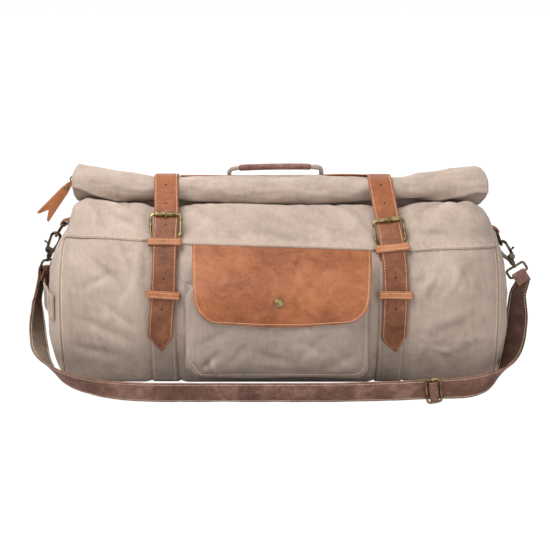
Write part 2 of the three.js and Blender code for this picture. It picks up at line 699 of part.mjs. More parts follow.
const BRIDGE = { angle: 62, width: 20, thick: 2, rise: 0.05, from: -121.5, to: 113.5 };
const underBridge = ROLL_STATIONS.map((row) => row.x).filter((x) => x > BRIDGE.from && x < BRIDGE.to);
const bridgeXs = [BRIDGE.from, ...underBridge, BRIDGE.to];
const bridgeAngle = THREE.MathUtils.degToRad(BRIDGE.angle);
const bridgeLine = bridgeXs.map((x) => rollPoint(rollRow(x), BRIDGE.angle, -BRIDGE.rise));
const bridgeAcross = V(0, -Math.sin(bridgeAngle), Math.cos(bridgeAngle));
const bridge = band(bridgeLine, bridgeLine.map(() => bridgeAcross), BRIDGE.width, BRIDGE.thick);
add("handle_bridge", "leather_tan", bridge);

const HANDLE = { y: -6.3, cord: 2.6, grip: 4, gripFrom: -46, gripTo: 41 };
const HANDLE_ROWS = [
  { x: -60, z: 255.9 },
  { x: -60, z: 260 },
  { x: -57, z: 264.2 },
  { x: -51, z: 266 },
  { x: 48, z: 265.8 },
  { x: 54, z: 263.6 },
  { x: 57, z: 260 },
  { x: 57, z: 255.9 },
];
const cordLine = HANDLE_ROWS.map(({ x, z }) => V(x, HANDLE.y, z));
add("handle_core", "canvas_dark", wire(cordLine, Y_AXIS, HANDLE.cord, 8, false));
const [gripLeft, gripRight] = [HANDLE_ROWS[3], HANDLE_ROWS[4]];
const gripZ = (x) => mix(gripLeft.z, gripRight.z, (x - gripLeft.x) / (gripRight.x - gripLeft.x));
const gripSpan = (extra) =>
  [HANDLE.gripFrom - extra, HANDLE.gripTo + extra].map((x) => V(x, HANDLE.y, gripZ(x)));
const gripOuter = solidOf(wire(gripSpan(0), Y_AXIS, HANDLE.grip, 10, false));
const gripBore = solidOf(wire(gripSpan(5), Y_AXIS, HANDLE.cord + GAP, 8, false));
add("handle_grip", "leather_brown", geometryFrom(gripOuter.subtract(gripBore)));

// Carrying hardware at both ends: a leather tab holds a D-ring, a spring clip hooks the ring,
// and the strap hangs on the clip's eye.

const TAB = { width: 20, thick: 2, start: 1.5 };
const RING = { wire: 1.6, half: 13.5, length: 20 };
const EYE = { wire: 1.6, half: 12.5, length: 12 };
// In the XZ plane, x counted outward from the middle of the bag: how far the tab's plies lie on the shoulder,
// where the ring bar hangs, and where the ring, then the clip, point.
const ENDS = [
  { side: "left", sign: -1, laid: 9, bar: [270, 190.5], ringTo: [281, 173], clipTo: [292.5, 142] },
  { side: "right", sign: 1, laid: 17, bar: [277.5, 180.5], ringTo: [285.5, 162], clipTo: [304, 133] },
];
const SHOULDER = { high: [250, 203], low: [262, 182] };
// The clip, with v running from its swivel up to the top of its hook and u toward its gate.
const CLIP = {
  barrel: 3.4,
  barrelTop: 7,
  baseTop: 13,
  half: 2.6,
  centre: 28,
  outer: 7.4,
  inner: 4.6,
  holds: 30.7,
  pivot: [5.4, 11],
  pin: 1,
  gateHalf: 1.5,
};
const eyeBars = {};
ENDS.forEach((end) => {
  const { side, sign } = end;
  const at = ([x, z], y = 0) => V(sign * x, y, z);
  // The tab: down the shoulder, round the bar and back up over itself.
  const high = at(SHOULDER.high);
  const down = at(SHOULDER.low).sub(high).normalize();
  const out = V(-sign * down.z, 0, sign * down.x);
  const bar = at(end.bar);
  const lower = GAP + TAB.thick / 2;
  const upper = lower + TAB.thick + GAP;
  const laid = (s, off) => high.clone().addScaledVector(down, s).addScaledVector(out, off);
  const toBar = bar.clone().sub(laid(end.laid, (lower + upper) / 2)).normalize();
  const beside = V(-toBar.z, 0, toBar.x).multiplyScalar(sign);
  const turnRadius = RING.wire + GAP + TAB.thick / 2;
  const round = [-90, -45, 0, 45, 90].map((degrees) => {
    const angle = THREE.MathUtils.degToRad(degrees);
    return bar
      .clone()
      .addScaledVector(toBar, turnRadius * Math.cos(angle))
      .addScaledVector(beside, turnRadius * Math.sin(angle));
  });
  const lowerPly = [laid(TAB.start, lower), laid(end.laid, lower)];
  const upperPly = [laid(end.laid, upper), laid(TAB.start, upper)];
  const tabLine = [...lowerPly, ...round, ...upperPly];
  add(`ring_tab_${side}`, "leather_tan", band(tabLine, tabLine.map(() => Y_AXIS), TAB.width, TAB.thick));

  // The D-ring, its straight bar in the tab.
  const foot = at(end.ringTo);
  const hang = foot.clone().sub(bar).normalize();
  const inRing = (y, s) => bar.clone().addScaledVector(hang, s).setY(y);
  const bow = [15, 45, 75, 105, 135, 165].map((degrees) => {
    const angle = THREE.MathUtils.degToRad(degrees);
    return inRing(RING.half * Math.cos(angle), RING.length * Math.sin(angle));
  });
  const ringNormal = hang.clone().cross(Y_AXIS).normalize();
  const ringLine = [inRing(-RING.half, 0), inRing(0, 0), inRing(RING.half, 0), ...bow];
  add(`d_ring_${side}`, "brass", wire(ringLine, ringNormal, RING.wire));
  const held = inRing(0, RING.length * Math.sin(THREE.MathUtils.degToRad(75)));

  // The clip hooks the middle of the bow.
  const v = held.clone().sub(at(end.clipTo)).normalize();
  const u = V(-v.z, 0, v.x).multiplyScalar(-sign);
  const inClip = (a, b, w) =>
    held.clone().addScaledVector(u, a).addScaledVector(v, b - CLIP.holds).addScaledVector(Y_AXIS, w);
  const plate = (outline, halfWidth) =>
    solidOf(loft([-halfWidth, halfWidth].map((w) => outline.map(([a, b]) => inClip(a, b, w)))));
  const arc = (radius, from, to, steps) =>
    Array.from({ length: steps + 1 }, (_, i) => {
      const angle = THREE.MathUtils.degToRad(mix(from, to, i / steps));
      return [radius * Math.cos(angle), CLIP.centre + radius * Math.sin(angle)];
    });
  const hookOutline = [
    [-4.5, CLIP.barrelTop - 1],
    [5, CLIP.barrelTop - 1],
    [7.7, 9],
    [7.7, CLIP.baseTop],
    [-3.4, CLIP.baseTop],
    ...arc(CLIP.inner, 200, -5, 8),
    ...arc(CLIP.outer, -5, 200, 8),
  ];
  const gateSlot = plate([[1.6, 8], [9, 8], [9, 16], [1.6, 16]], CLIP.gateHalf + GAP);
  const barrel = solidOf(rod(inClip(0, 0, 0), inClip(0, CLIP.barrelTop, 0), CLIP.barrel, 8));
  const bore = solidOf(rod(inClip(0, -2, 0), inClip(0, 5.4, 0), EYE.wire + 0.4, 8));
  const [pu, pv] = CLIP.pivot;
  const pinOf = (radius, reach) => solidOf(rod(inClip(pu, pv, -reach), inClip(pu, pv, reach), radius, 8));
  const bare = plate(hookOutline, CLIP.half).add(barrel).subtract(gateSlot).subtract(bore);
  const hook = bare.add(pinOf(CLIP.pin, CLIP.half));
  add(`clip_hook_${side}`, "brass", geometryFrom(hook));

  // The gate shuts the hook from its pivot to its tip, with a thumb tab on the outside.
  const gateOutline = [
    [pu - 1.5, pv],
    [pu + 1.7, pv],
    [7.3, 15.5],
    [11.4, 18],
    [11.4, 19.6],
    [7.3, 20],
    [7.3, 26.9],
    [4.4, 26.9],
    [4.1, 15.5],
  ];
  const root = pinOf(2.3, CLIP.gateHalf);
  const gate = plate(gateOutline, CLIP.gateHalf).add(root).subtract(pinOf(CLIP.pin + GAP, 2 * CLIP.half));
  add(`clip_gate_${side}`, "brass", geometryFrom(gate));

  // The eye turns in the barrel on its stud; the strap goes round its lower bar.
  const wide = sign < 0 ? V(0.4, 0.92, 0) : V(-1, 0, 0);
  const e = wide.addScaledVector(v, -wide.dot(v)).normalize();
  const eyeTop = -3.2;
  const eyeMiddle = eyeTop - EYE.length / 2;
  const eyeLine = roundedRectangle(2 * EYE.half, EYE.length, 3, 2).map(([a, b]) =>
    held.clone().addScaledVector(e, a).addScaledVector(v, eyeMiddle + b - CLIP.holds),
  );
  const stud = solidOf(rod(inClip(0, eyeTop, 0), inClip(0, 5, 0), EYE.wire, 8));
  const eyeNormal = e.clone().cross(v).normalize();
  add(`clip_eye_${side}`, "brass", geometryFrom(solidOf(wire(eyeLine, eyeNormal, EYE.wire)).add(stud)));
  eyeBars[side] = { at: held.clone().addScaledVector(v, eyeTop - EYE.length - CLIP.holds), across: e };
});

// Shoulder strap, from the left eye down and round the front of the bag to the right eye.
// Each row: the middle of the strap and the direction from its middle to its second edge.
const STRAP_ROWS = [
  { x: -307.5, y: -9, z: 96, ax: 0.2, ay: 0.97, az: 0 },
  { x: -304, y: -42, z: 63, ax: 0.42, ay: 0.8, az: -0.3 },
  { x: -287, y: -86, z: 44, ax: 0.35, ay: 0.55, az: -0.75 },
  { x: -258, y: -120, z: 33, ax: 0.15, ay: 0.3, az: -0.95 },
  { x: -222, y: -143, z: 21, ax: 0, ay: 0, az: -1 },
  { x: -175, y: -151, z: 16.9, ax: 0, ay: -0.15, az: -1 },
  { x: -60, y: -153.5, z: 16.4, ax: 0, ay: -0.2, az: -1 },
  { x: 90, y: -153.5, z: 16.7, ax: 0, ay: -0.2, az: -1 },
  { x: 190, y: -152.5, z: 19.6, ax: 0, ay: -0.15, az: -1 },
  { x: 237, y: -144, z: 20, ax: -0.15, ay: -0.1, az: -1 },
  { x: 270, y: -117, z: 25, ax: -0.55, ay: 0.1, az: -0.8 },
  { x: 290, y: -77, z: 42, ax: -0.9, ay: 0.1, az: -0.35 },
  { x: 302, y: -38, z: 71, ax: -1, ay: 0, az: 0 },
  { x: 306, y: -13, z: 102, ax: -1, ay: 0, az: -0.2 },
];
const STRAP_END_WIDTH = 18;
const STRAP_STEPS = 3; // facets between two rows

// The end of the strap folded round a bar, from its sewn tail to where the strap runs free.
function foldedEnd(bar, first, inner) {
  const down = first.clone().sub(bar.at);
  down.addScaledVector(bar.across, -down.dot(bar.across)).normalize();
  const face = down.clone().cross(bar.across).normalize();
  if (face.dot(inner) < 0) face.negate();
  const r = EYE.wire + GAP + LEATHER / 2;
  const place = (d, n) => bar.at.clone().addScaledVector(down, d).addScaledVector(face, n);
  const turnOver = [0, 45, 90, 135, 180].map((degrees) => {
    const angle = THREE.MathUtils.degToRad(degrees);
    return place(-r * Math.sin(angle), r * Math.cos(angle));
  });
  const tail = [place(15, 1.7), place(10, 2), place(5, 2.9)];
  const leaving = [place(5, -2.9), place(10, -2), place(20, -1.7)];
  return [...tail, ...turnOver, ...leaving];
}

const strapPoint = (row) => V(row.x, row.y, row.z);
const strapAcross = (row) => V(row.ax, row.ay, row.az).normalize();
const rowCurve = new THREE.CatmullRomCurve3(STRAP_ROWS.map(strapPoint), false, "centripetal");
const acrossCurve = new THREE.CatmullRomCurve3(STRAP_ROWS.map(strapAcross), false, "centripetal");
const runCount = (STRAP_ROWS.length - 1) * STRAP_STEPS;
const run = Array.from({ length: runCount + 1 }, (_, i) => rowCurve.getPoint(i / runCount));
const runAcross = run.map((_, i) => acrossCurve.getPoint(i / runCount).normalize());
const leftEnd = foldedEnd(eyeBars.left, run[0], V(1, 0, 0));
const rightEnd = foldedEnd(eyeBars.right, run.at(-1), V(0, -1, 0)).reverse();
const shoulderLine = [...leftEnd, ...run, ...rightEnd];
const shoulderAcross = [
  ...leftEnd.map(() => eyeBars.left.across),
  ...runAcross,
  ...rightEnd.map(() => eyeBars.right.across),
];
const fromEnd = (i) => Math.min(i, runCount - i) / STRAP_STEPS;
const shoulderWidths = [
  ...leftEnd.map(() => STRAP_END_WIDTH),
  ...run.map((_, i) => mix(STRAP_END_WIDTH, SHOULDER_WIDTH, Math.min(fromEnd(i) + 0.3, 1))),
  ...rightEnd.map(() => STRAP_END_WIDTH),
];
// The folded ply and the free ply have opposite directions across, so each is turned to match the one before.
shoulderAcross.forEach((a, i) => {
  if (i && a.dot(shoulderAcross[i - 1]) < 0) a.negate();
});
const shoulder = band(shoulderLine, shoulderAcross, SHOULDER_WIDTH, LEATHER, shoulderWidths);
add("shoulder_strap", "leather_dark", shoulder);

// Slider on the front of the shoulder strap: a metal frame, its middle bar and the strap's end sewn round it.

const SLIDER = { x: 186, along: 20, tall: 35, wire: 1.5, corner: 3.5, lean: 7, barPast: 0.6 };
const WRAP = { along: 11, tall: 27, thick: 1.5 };
const sliderIndex = run.findIndex((p) => p.x >= SLIDER.x);
const sliderT = (SLIDER.x - run[sliderIndex - 1].x) / (run[sliderIndex].x - run[sliderIndex - 1].x);
const sliderFoot = run[sliderIndex - 1].clone().lerp(run[sliderIndex], sliderT);
const sliderAlong = run[sliderIndex].clone().sub(run[sliderIndex - 1]).normalize();
const sliderDown = runAcross[sliderIndex].clone();
sliderDown.addScaledVector(sliderAlong, -sliderDown.dot(sliderAlong)).normalize();
const sliderOut = sliderAlong.clone().cross(sliderDown).negate();
const barOut = LEATHER / 2 + 2 * GAP + WRAP.thick + SLIDER.wire;
const sliderTurn = new THREE.Quaternion().setFromAxisAngle(sliderOut, THREE.MathUtils.degToRad(SLIDER.lean));
const inSlider = (a, d, o) =>
  V(0, 0, 0)
    .addScaledVector(sliderAlong, a)
    .addScaledVector(sliderDown, d)
    .applyQuaternion(sliderTurn)
    .addScaledVector(sliderOut, o)
    .add(sliderFoot);
const [frameAlong, frameTall] = [SLIDER.along, SLIDER.tall].map((size) => size - 2 * SLIDER.wire);
const sliderFlat = roundedRectangle(frameAlong, frameTall, SLIDER.corner, 2);
const sliderLine = sliderFlat.map(([a, d]) => inSlider(a, d, barOut));
const barReach = SLIDER.tall / 2 + SLIDER.barPast;
const sliderBar = rod(inSlider(0, -barReach, barOut), inSlider(0, barReach, barOut), SLIDER.wire);
const sliderSolid = solidOf(wire(sliderLine, sliderOut, SLIDER.wire)).add(solidOf(sliderBar));
add("strap_slider", "brass", geometryFrom(sliderSolid));
const wrapTall = 2 * (SLIDER.wire + GAP + WRAP.thick);
function wrapPrism(along, tall, corner, reach) {
  const flat = roundedRectangle(along, tall, corner, 2);
  return solidOf(loft([-reach, reach].map((d) => flat.map(([a, o]) => inSlider(a, d, barOut + o)))));
}
const wrapOuter = wrapPrism(WRAP.along, wrapTall, 2.5, WRAP.tall / 2);
const wrapInner = wrapPrism(WRAP.along - 2 * WRAP.thick, wrapTall - 2 * WRAP.thick, 1.2, WRAP.tall);
add("slider_wrap", "leather_dark", geometryFrom(wrapOuter.subtract(wrapInner)));

// Grab loop across the left end, sewn down at the front and the back.

const GRAB = { z: 96, width: 32, thick: 2 };
const GRAB_ROWS = [
  { y: 0, x: -295.5 },
  { y: 26, x: -293.6 },
  { y: 46, x: -288.2 },
  { y: 60, x: -283.2 },
  { y: 76, x: -277.9 },
  { y: 88, x: -273.4 },
];
const grabPoint = (sign) => (row) => V(row.x, sign * row.y, GRAB.z);
const grabLine = [...GRAB_ROWS.map(grabPoint(-1)).reverse(), ...GRAB_ROWS.slice(1).map(grabPoint(1))];
add("end_grab_left", "canvas_dark", band(grabLine, grabLine.map(() => V(0, 0, 1)), GRAB.width, GRAB.thick));

// Zip pull at the left end of the roll: slider, ring, and a leather strip folded through it and riveted.

const ZIP = { y: -18, wire: 0.9, bail: 3.4, ring: 4, slip: 1.2, thick: 1.5 };
const ZIP_BODY = { low: V(-248.8, -20.5, 252.2), high: V(-243, -15.5, 257.2) };
const zipBail = V(-250.4, ZIP.y, 253.2);
const pullRun = V(-0.642, 0, -0.767);
const pullAcross = V(-0.767, 0, 0.642);
const circle = (centre, a, b, radius, count) =>
  Array.from({ length: count }, (_, i) => {
    const angle = (2 * Math.PI * i) / count;
    return onCircle(centre, a, b, radius, angle);
  });
const bail = wire(circle(zipBail, pullRun, Y_AXIS, ZIP.bail, 10), pullAcross, ZIP.wire, 6);
add("zip_slider", "brass", geometryFrom(block(ZIP_BODY.low, ZIP_BODY.high).add(solidOf(bail))));
const zipCentre = zipBail.clone().addScaledVector(pullRun, ZIP.slip + ZIP.ring);
add("zip_ring", "brass", wire(circle(zipCentre, pullRun, pullAcross, ZIP.ring, 12), Y_AXIS, ZIP.wire, 6));

// Rows of the pull: how far below the ring wire, how far in front (minus) or behind, and how wide.
const pullTop = zipCentre.clone().addScaledVector(pullRun, ZIP.ring);
const pullTurn = ZIP.wire + 2 * GAP + ZIP.thick / 2;
const PULL_ROWS = [
  { down: 15, back: 1.15, width: 9 },
  { down: 5, back: 1.4, width: 7 },
  { down: 0, back: pullTurn, width: 3.4 },
  { down: -0.707 * pullTurn, back: 0.707 * pullTurn, width: 3.4 },
  { down: -pullTurn, back: 0, width: 3.4 },
  { down: -0.707 * pullTurn, back: -0.707 * pullTurn, width: 3.4 },
  { down: 0, back: -pullTurn, width: 3.4 },
  { down: 5, back: -1.4, width: 7 },
  { down: 15, back: -1.15, width: 11 },
  { down: 38, back: -1.15, width: 15 },
  { down: 58, back: -1.15, width: 19 },
];
const inPull = (down, side, y) =>
  pullTop.clone().addScaledVector(pullRun, down).addScaledVector(pullAcross, side).setY(y);
const pullLine = PULL_ROWS.map(({ down, back }) => inPull(down, 0, ZIP.y + back));
const pullWidths = PULL_ROWS.map((row) => row.width);
const pullStrip = band(pullLine, pullLine.map(() => pullAcross), 0, ZIP.thick, pullWidths);
// The swallow tail: a wedge cut out of the end of the strip.
const NOTCH = { from: 46, past: 62, half: 8.5 };
const notchRing = (y) => [
  inPull(NOTCH.from, 0, y),
  inPull(NOTCH.past, NOTCH.half, y),
  inPull(NOTCH.past, -NOTCH.half, y),
];
const notch = solidOf(loft([ZIP.y - 10, ZIP.y + 10].map(notchRing)));
add("zip_pull", "leather_tan", geometryFrom(solidOf(pullStrip).subtract(notch)));
const rivetFoot = inPull(10, 0, ZIP.y - 1.2 - ZIP.thick / 2 - GAP);
const RIVET_PROFILE = [
  [0, 2.6],
  [0.5, 2.6],
  [1, 1.7],
];
add("zip_rivet", "brass", turned(RIVET_PROFILE, rivetFoot, V(0, -1, 0), 8));

export default bag;
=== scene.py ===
# %% [markdown]
# # A roll-top travel bag in Blender
# The bag is washed canvas with leather straps: a long soft body, a mouth that is rolled shut under two
# buckled straps, a front pocket with a leather flap, and a shoulder strap lying along the front. The packed
# solids are the frame: they fix where every piece sits. Each step below dresses one piece of it, so that
# the cloth folds, the leather has stitched edges and the metal is round. All tables are in millimetres, in
# the frame's axes.

# %% Load the frame
import math

import bmesh
import bpy
import numpy as np
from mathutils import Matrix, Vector, noise


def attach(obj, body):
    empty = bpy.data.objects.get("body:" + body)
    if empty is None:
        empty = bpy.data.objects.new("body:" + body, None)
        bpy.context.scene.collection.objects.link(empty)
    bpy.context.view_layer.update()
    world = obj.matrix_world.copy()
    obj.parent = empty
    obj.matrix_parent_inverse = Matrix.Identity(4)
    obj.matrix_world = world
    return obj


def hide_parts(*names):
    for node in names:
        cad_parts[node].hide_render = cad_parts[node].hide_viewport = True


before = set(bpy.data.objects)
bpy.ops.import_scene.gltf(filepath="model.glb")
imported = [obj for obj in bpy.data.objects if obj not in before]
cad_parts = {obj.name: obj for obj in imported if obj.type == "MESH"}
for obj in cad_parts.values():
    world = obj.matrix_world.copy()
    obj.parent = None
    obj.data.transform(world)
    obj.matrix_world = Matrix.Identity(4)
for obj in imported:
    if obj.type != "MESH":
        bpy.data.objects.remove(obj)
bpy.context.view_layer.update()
MM = 0.001
BODY = "bag"
X_AXIS, Y_AXIS, Z_AXIS = np.eye(3)


# %% A short way to write node trees
def set_inputs(tree, node, inputs):
    """Gives a node's inputs their values, or joins them to sockets."""
    for key, value in inputs.items():
        if isinstance(value, bpy.types.NodeSocket):
            tree.links.new(value, node.inputs[key])
        else:
            node.inputs[key].default_value = value


def add_node(tree, kind, inputs=None, **settings):
    """A new node with its settings and inputs."""
    made = tree.nodes.new(kind)
    for key, value in settings.items():
        setattr(made, key, value)
    set_inputs(tree, made, inputs or {})
    return made


# %% [markdown]
# ## Camera, floor and light
# The bag was photographed from the front, a little above it, with a long lens on a white ground. A lens of
# about 95 mm from 1.8 m gives the same mild perspective. One large soft light stands above and to the left,
# a weaker one fills the right, a third lights the top from behind, and a bright world lifts the shadows, as
# white studio walls do. The camera sees world and floor as plain white, so that the bag stands on a white
# ground.

# %% Camera, floor and light
CAMERA = {"at": (-2.5, -1813.9, 541.4), "aim": (-2.5, -60.0, 136.5), "lens": 95.3, "sensor": 36}
LIGHTS = [
    # name, place, width, height, power in watts
    ("window_light", (-780, -660, 1700), 1500, 1100, 33.7),
    ("fill_light", (900, -1700, 500), 1200, 1000, 7),
    ("back_light", (200, 1100, 1300), 1400, 800, 9),
]
LIGHT_AIM = (0, 0, 100)
WHITE = (1, 1, 1, 1)
WALLS = {"Color": (1, 0.985, 0.97, 1), "Strength": 0.5}
PAPER = {"Base Color": (0.6, 0.59, 0.58, 1), "Roughness": 0.9}
PAPER_GLOW = {"strength": 1.1, "share": 0.93}
FLOOR_CORNERS = [(-6, -3, 0), (6, -3, 0), (6, 9, 0), (-6, 9, 0)]
scene = bpy.context.scene
scene.view_settings.view_transform = "Standard"


def look_at(thing, place, target):
    """Puts a camera or light at a place, turned to a target."""
    thing.location = Vector(place) * MM
    thing.rotation_euler = (Vector(target) - Vector(place)).to_track_quat("-Z", "Y").to_euler()
    scene.collection.objects.link(thing)


def show_camera(tree, factor, lit, shown, output):
    """Lets the camera see one shader, by a factor, while the other lights the scene."""
    mixed = add_node(tree, "ShaderNodeMixShader", {0: factor, 1: lit.outputs[0], 2: shown.outputs[0]})
    tree.links.new(mixed.outputs[0], tree.nodes[output].inputs["Surface"])


camera = bpy.data.objects.new("photo_camera", bpy.data.cameras.new("photo_camera"))
camera.data.lens = CAMERA["lens"]
camera.data.sensor_width = CAMERA["sensor"]
look_at(camera, CAMERA["at"], CAMERA["aim"])
scene.camera = camera
for name, place, width, height, power in LIGHTS:
    lamp = bpy.data.lights.new(name, "AREA")
    lamp.shape = "RECTANGLE"
    lamp.size = width * MM
    lamp.size_y = height * MM
    lamp.energy = power
    look_at(bpy.data.objects.new(name, lamp), place, LIGHT_AIM)

world = bpy.data.worlds.new("studio_walls")
scene.world = world
world.use_nodes = True
sky = world.node_tree
walls = sky.nodes["Background"]
set_inputs(sky, walls, WALLS)
backdrop = add_node(sky, "ShaderNodeBackground", {"Color": WHITE})
show_camera(
    sky, add_node(sky, "ShaderNodeLightPath").outputs["Is Camera Ray"], walls, backdrop, "World Output",
)

floor_mesh = bpy.data.meshes.new("studio_floor")
floor_mesh.from_pydata(FLOOR_CORNERS, [], [(0, 1, 2, 3)])
studio_floor = bpy.data.objects.new("studio_floor", floor_mesh)
scene.collection.objects.link(studio_floor)
paper = bpy.data.materials.new("white_paper")
paper.use_nodes = True
sheet = paper.node_tree
diffuse = sheet.nodes["Principled BSDF"]
set_inputs(sheet, diffuse, PAPER)
glow = add_node(sheet, "ShaderNodeEmission", {"Strength": PAPER_GLOW["strength"]})
camera_ray = add_node(sheet, "ShaderNodeLightPath").outputs["Is Camera Ray"]
share = add_node(sheet, "ShaderNodeMath", {0: camera_ray, 1: PAPER_GLOW["share"]}, operation="MULTIPLY")
show_camera(sheet, share.outputs[0], diffuse, glow, "Material Output")
floor_mesh.materials.append(paper)
print("lights:", len(LIGHTS), "and a white floor")

# %% [markdown]
# ## Small tools
# Nearly everything on the bag is a sheet or a strip, so a few helpers do most of the work: one turns a grid
# of points into faces, one makes the mesh object with its cloth map, and a later one sweeps leather along a
# path. The cloth map (a UV map in metres) runs along the threads, so that weave and grain follow the piece
# when it bends. Masks are numbers on the points: the edge mask is 1 at a cut edge and fades inward, the
# fold mask is above 0 on ridges and below it in valleys, and in the canvas colour it lightens rubbed ridges
# and paints shade into the valleys; the tone mask is 1 where leather takes a second, lighter set of colours,
# which on the shoulder strap's low bend is painted light.

# %% Faces, meshes and masks
def grid_faces(rows, columns, closed=False):
    """Faces between neighbouring rows of points; closed joins the last column to the first."""
    index = np.arange(rows * columns).reshape(rows, columns)
    if closed:
        index = np.hstack([index, index[:, :1]])
    corners = [index[:-1, :-1], index[:-1, 1:], index[1:, 1:], index[1:, :-1]]
    return np.stack(corners, axis=-1).reshape(-1, 4).tolist()


def end_faces(rows, columns):
    """One face over the first row and one over the last."""
    last = (rows - 1) * columns
    return [list(range(columns))[::-1], list(range(last, last + columns))]


def meeting_faces(rows, columns):
    """Faces that join the last row to the first."""
    last = (rows - 1) * columns
    return [[last + j, last + (j + 1) % columns, (j + 1) % columns, j] for j in range(columns)]


def set_mask(made, name, values):
    """Keeps one number for each point of a piece."""
    mask = made.data.attributes.new(name, "FLOAT", "POINT")
    mask.data.foreach_set("value", np.asarray(values, dtype=np.float32).ravel())


def piece(name, points, faces, finish, cloth_map=None, edge=None):
    """A smooth mesh object from points in millimetres."""
    mesh = bpy.data.meshes.new(name)
    mesh.from_pydata((np.asarray(points, dtype=float).reshape(-1, 3) * MM).tolist(), [], faces)
    mesh.polygons.foreach_set("use_smooth", np.ones(len(mesh.polygons), dtype=bool))
    mesh.materials.append(finish)
    made = bpy.data.objects.new(name, mesh)
    scene.collection.objects.link(made)
    if cloth_map is not None:
        corner = np.empty(len(mesh.loops), dtype=np.int32)
        mesh.loops.foreach_get("vertex_index", corner)
        flat_map = np.asarray(cloth_map, dtype=float).reshape(-1, 2)
        mesh.uv_layers.new(name="cloth").data.foreach_set("uv", (flat_map[corner] * MM).ravel())
    if edge is not None:
        set_mask(made, "edge", edge)
    return made


def face_outward(made):
    """Turns the faces of a closed shell to the outside."""
    work = bmesh.new()
    work.from_mesh(made.data)
    bmesh.ops.recalc_face_normals(work, faces=work.faces)
    work.to_mesh(made.data)
    work.free()


def shell(*about):
    """A closed piece, with its faces turned to the outside."""
    made = piece(*about)
    face_outward(made)
    return made


def give_wall(made, wall):
    """Thickens a sheet inward."""
    thicken = made.modifiers.new("wall", "SOLIDIFY")
    thicken.thickness = wall * MM
    thicken.offset = -1


def place_on(made, nodes):
    """The piece stands for these solids and moves with the bag."""
    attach(made, BODY)
    if nodes:
        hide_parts(*nodes)
    return made


# %% Lines and numbers
def unit(vectors):
    """Vectors of length one."""
    vectors = np.asarray(vectors, dtype=float)
    return vectors / np.maximum(np.linalg.norm(vectors, axis=-1, keepdims=True), 1e-12)


def fade(value, start, full):
    """0 up to a start, then rising evenly to 1."""
    return np.clip((value - start) / (full - start), 0, 1)


def bump_at(value, middle, reach):
    """1 at a middle value, falling away like a bell."""
    return np.exp(-((value - middle) / reach) ** 2)


def read_rows(places, given, table):
    """The columns of a table, given at some places, read at others."""
    return np.stack([np.interp(places, given, column) for column in np.asarray(table).T], axis=-1)


def along_path(path):
    """Distance along a path at each of its points."""
    steps = np.linalg.norm(np.diff(path, axis=0), axis=1)
    return np.concatenate([[0.0], np.cumsum(steps)])


def length_of(path):
    """Length of a path in whole millimetres."""
    return round(float(along_path(path)[-1]))


def even_path(path, spacing, *others):
    """The path, and other rows that go with it, read again at even spacing."""
    path = np.asarray(path, dtype=float)
    distance = along_path(path)
    count = max(int(round(distance[-1] / spacing)), 2)
    places = np.linspace(0, distance[-1], count + 1)
    tables = [path, *[np.asarray(other, dtype=float).reshape(len(path), -1) for other in others]]
    read = [read_rows(places, distance, table) for table in tables]
    return read if others else read[0]


def even_loop(loop, spacing=1.0):
    """A closed line read again at even spacing."""
    return even_path(np.vstack([loop, loop[:1]]), spacing)[:-1]


def spread(line, count):
    """A line read again as this many even points."""
    distance = along_path(line)
    return read_rows(np.linspace(0, distance[-1], count), distance, line)


def rounded(path, reach, passes=2):
    """The path with its corners eased over a reach in points, its ends held."""
    path = np.asarray(path, dtype=float).copy()
    for _ in range(passes * reach):
        path[1:-1] = 0.25 * path[:-2] + 0.5 * path[1:-1] + 0.25 * path[2:]
    return path


def smooth_curve(points, spacing):
    """A curve through points (centripetal, like a bent batten), read at even spacing."""
    points = np.asarray(points, dtype=float)
    padded = np.vstack([2 * points[0] - points[1], points, 2 * points[-1] - points[-2]])
    knots = np.concatenate([[0.0], np.cumsum(np.linalg.norm(np.diff(padded[:, :3], axis=0), axis=1) ** 0.5)])
    made = []
    for i in range(1, len(padded) - 2):
        t = np.linspace(knots[i], knots[i + 1], 24, endpoint=False)[:, None]
        t0, t1, t2, t3 = knots[i - 1:i + 3]
        p0, p1, p2, p3 = padded[i - 1:i + 3]
        a1 = (t1 - t) / (t1 - t0) * p0 + (t - t0) / (t1 - t0) * p1
        a2 = (t2 - t) / (t2 - t1) * p1 + (t - t1) / (t2 - t1) * p2
        a3 = (t3 - t) / (t3 - t2) * p2 + (t - t2) / (t3 - t2) * p3
        b1 = (t2 - t) / (t2 - t0) * a1 + (t - t0) / (t2 - t0) * a2
        b2 = (t3 - t) / (t3 - t1) * a2 + (t - t1) / (t3 - t1) * a3
        made.append((t2 - t) / (t2 - t1) * b1 + (t - t1) / (t2 - t1) * b2)
    return even_path(np.vstack([*made, points[-1:]]), spacing)


def soft_noise(points, scale, seed=0.0, octaves=3):
    """Smooth noise from about -1 to 1 at points in millimetres, with features of this size."""
    points = np.asarray(points)
    offset = Vector((seed * 17.3, seed * 5.1, seed * 9.7))
    flat = points.reshape(-1, 3)
    read = [noise.fractal(Vector(p) / scale + offset, 0.9, 2.1, octaves) for p in flat]
    return np.array(read).reshape(points.shape[:-1])

# %% [markdown]
# ## Finishes
# Four effects turn up on many pieces: the plain weave of the canvas, the cloudy fading of washed cloth, the
# grain and pull-up marks of oiled leather, and wear along cut edges. Each is a node group with named
# inputs, built once and placed in every material that needs it. A picture texture could do the same, but a
# group has no seams and can be set anew for each piece.

# %% Sockets that come up often
NUMBER = "NodeSocketFloat"
VECTOR = "NodeSocketVector"


def math_node(tree, operation, first, second=0.0):
    """One sum, product or function of one or two values."""
    return add_node(tree, "ShaderNodeMath", {0: first, 1: second}, operation=operation).outputs[0]


def weighted(tree, value, weight, more=0.0):
    """A value times a weight, plus something more."""
    return add_node(
        tree, "ShaderNodeMath", {0: value, 1: weight, 2: more}, operation="MULTIPLY_ADD",
    ).outputs[0]


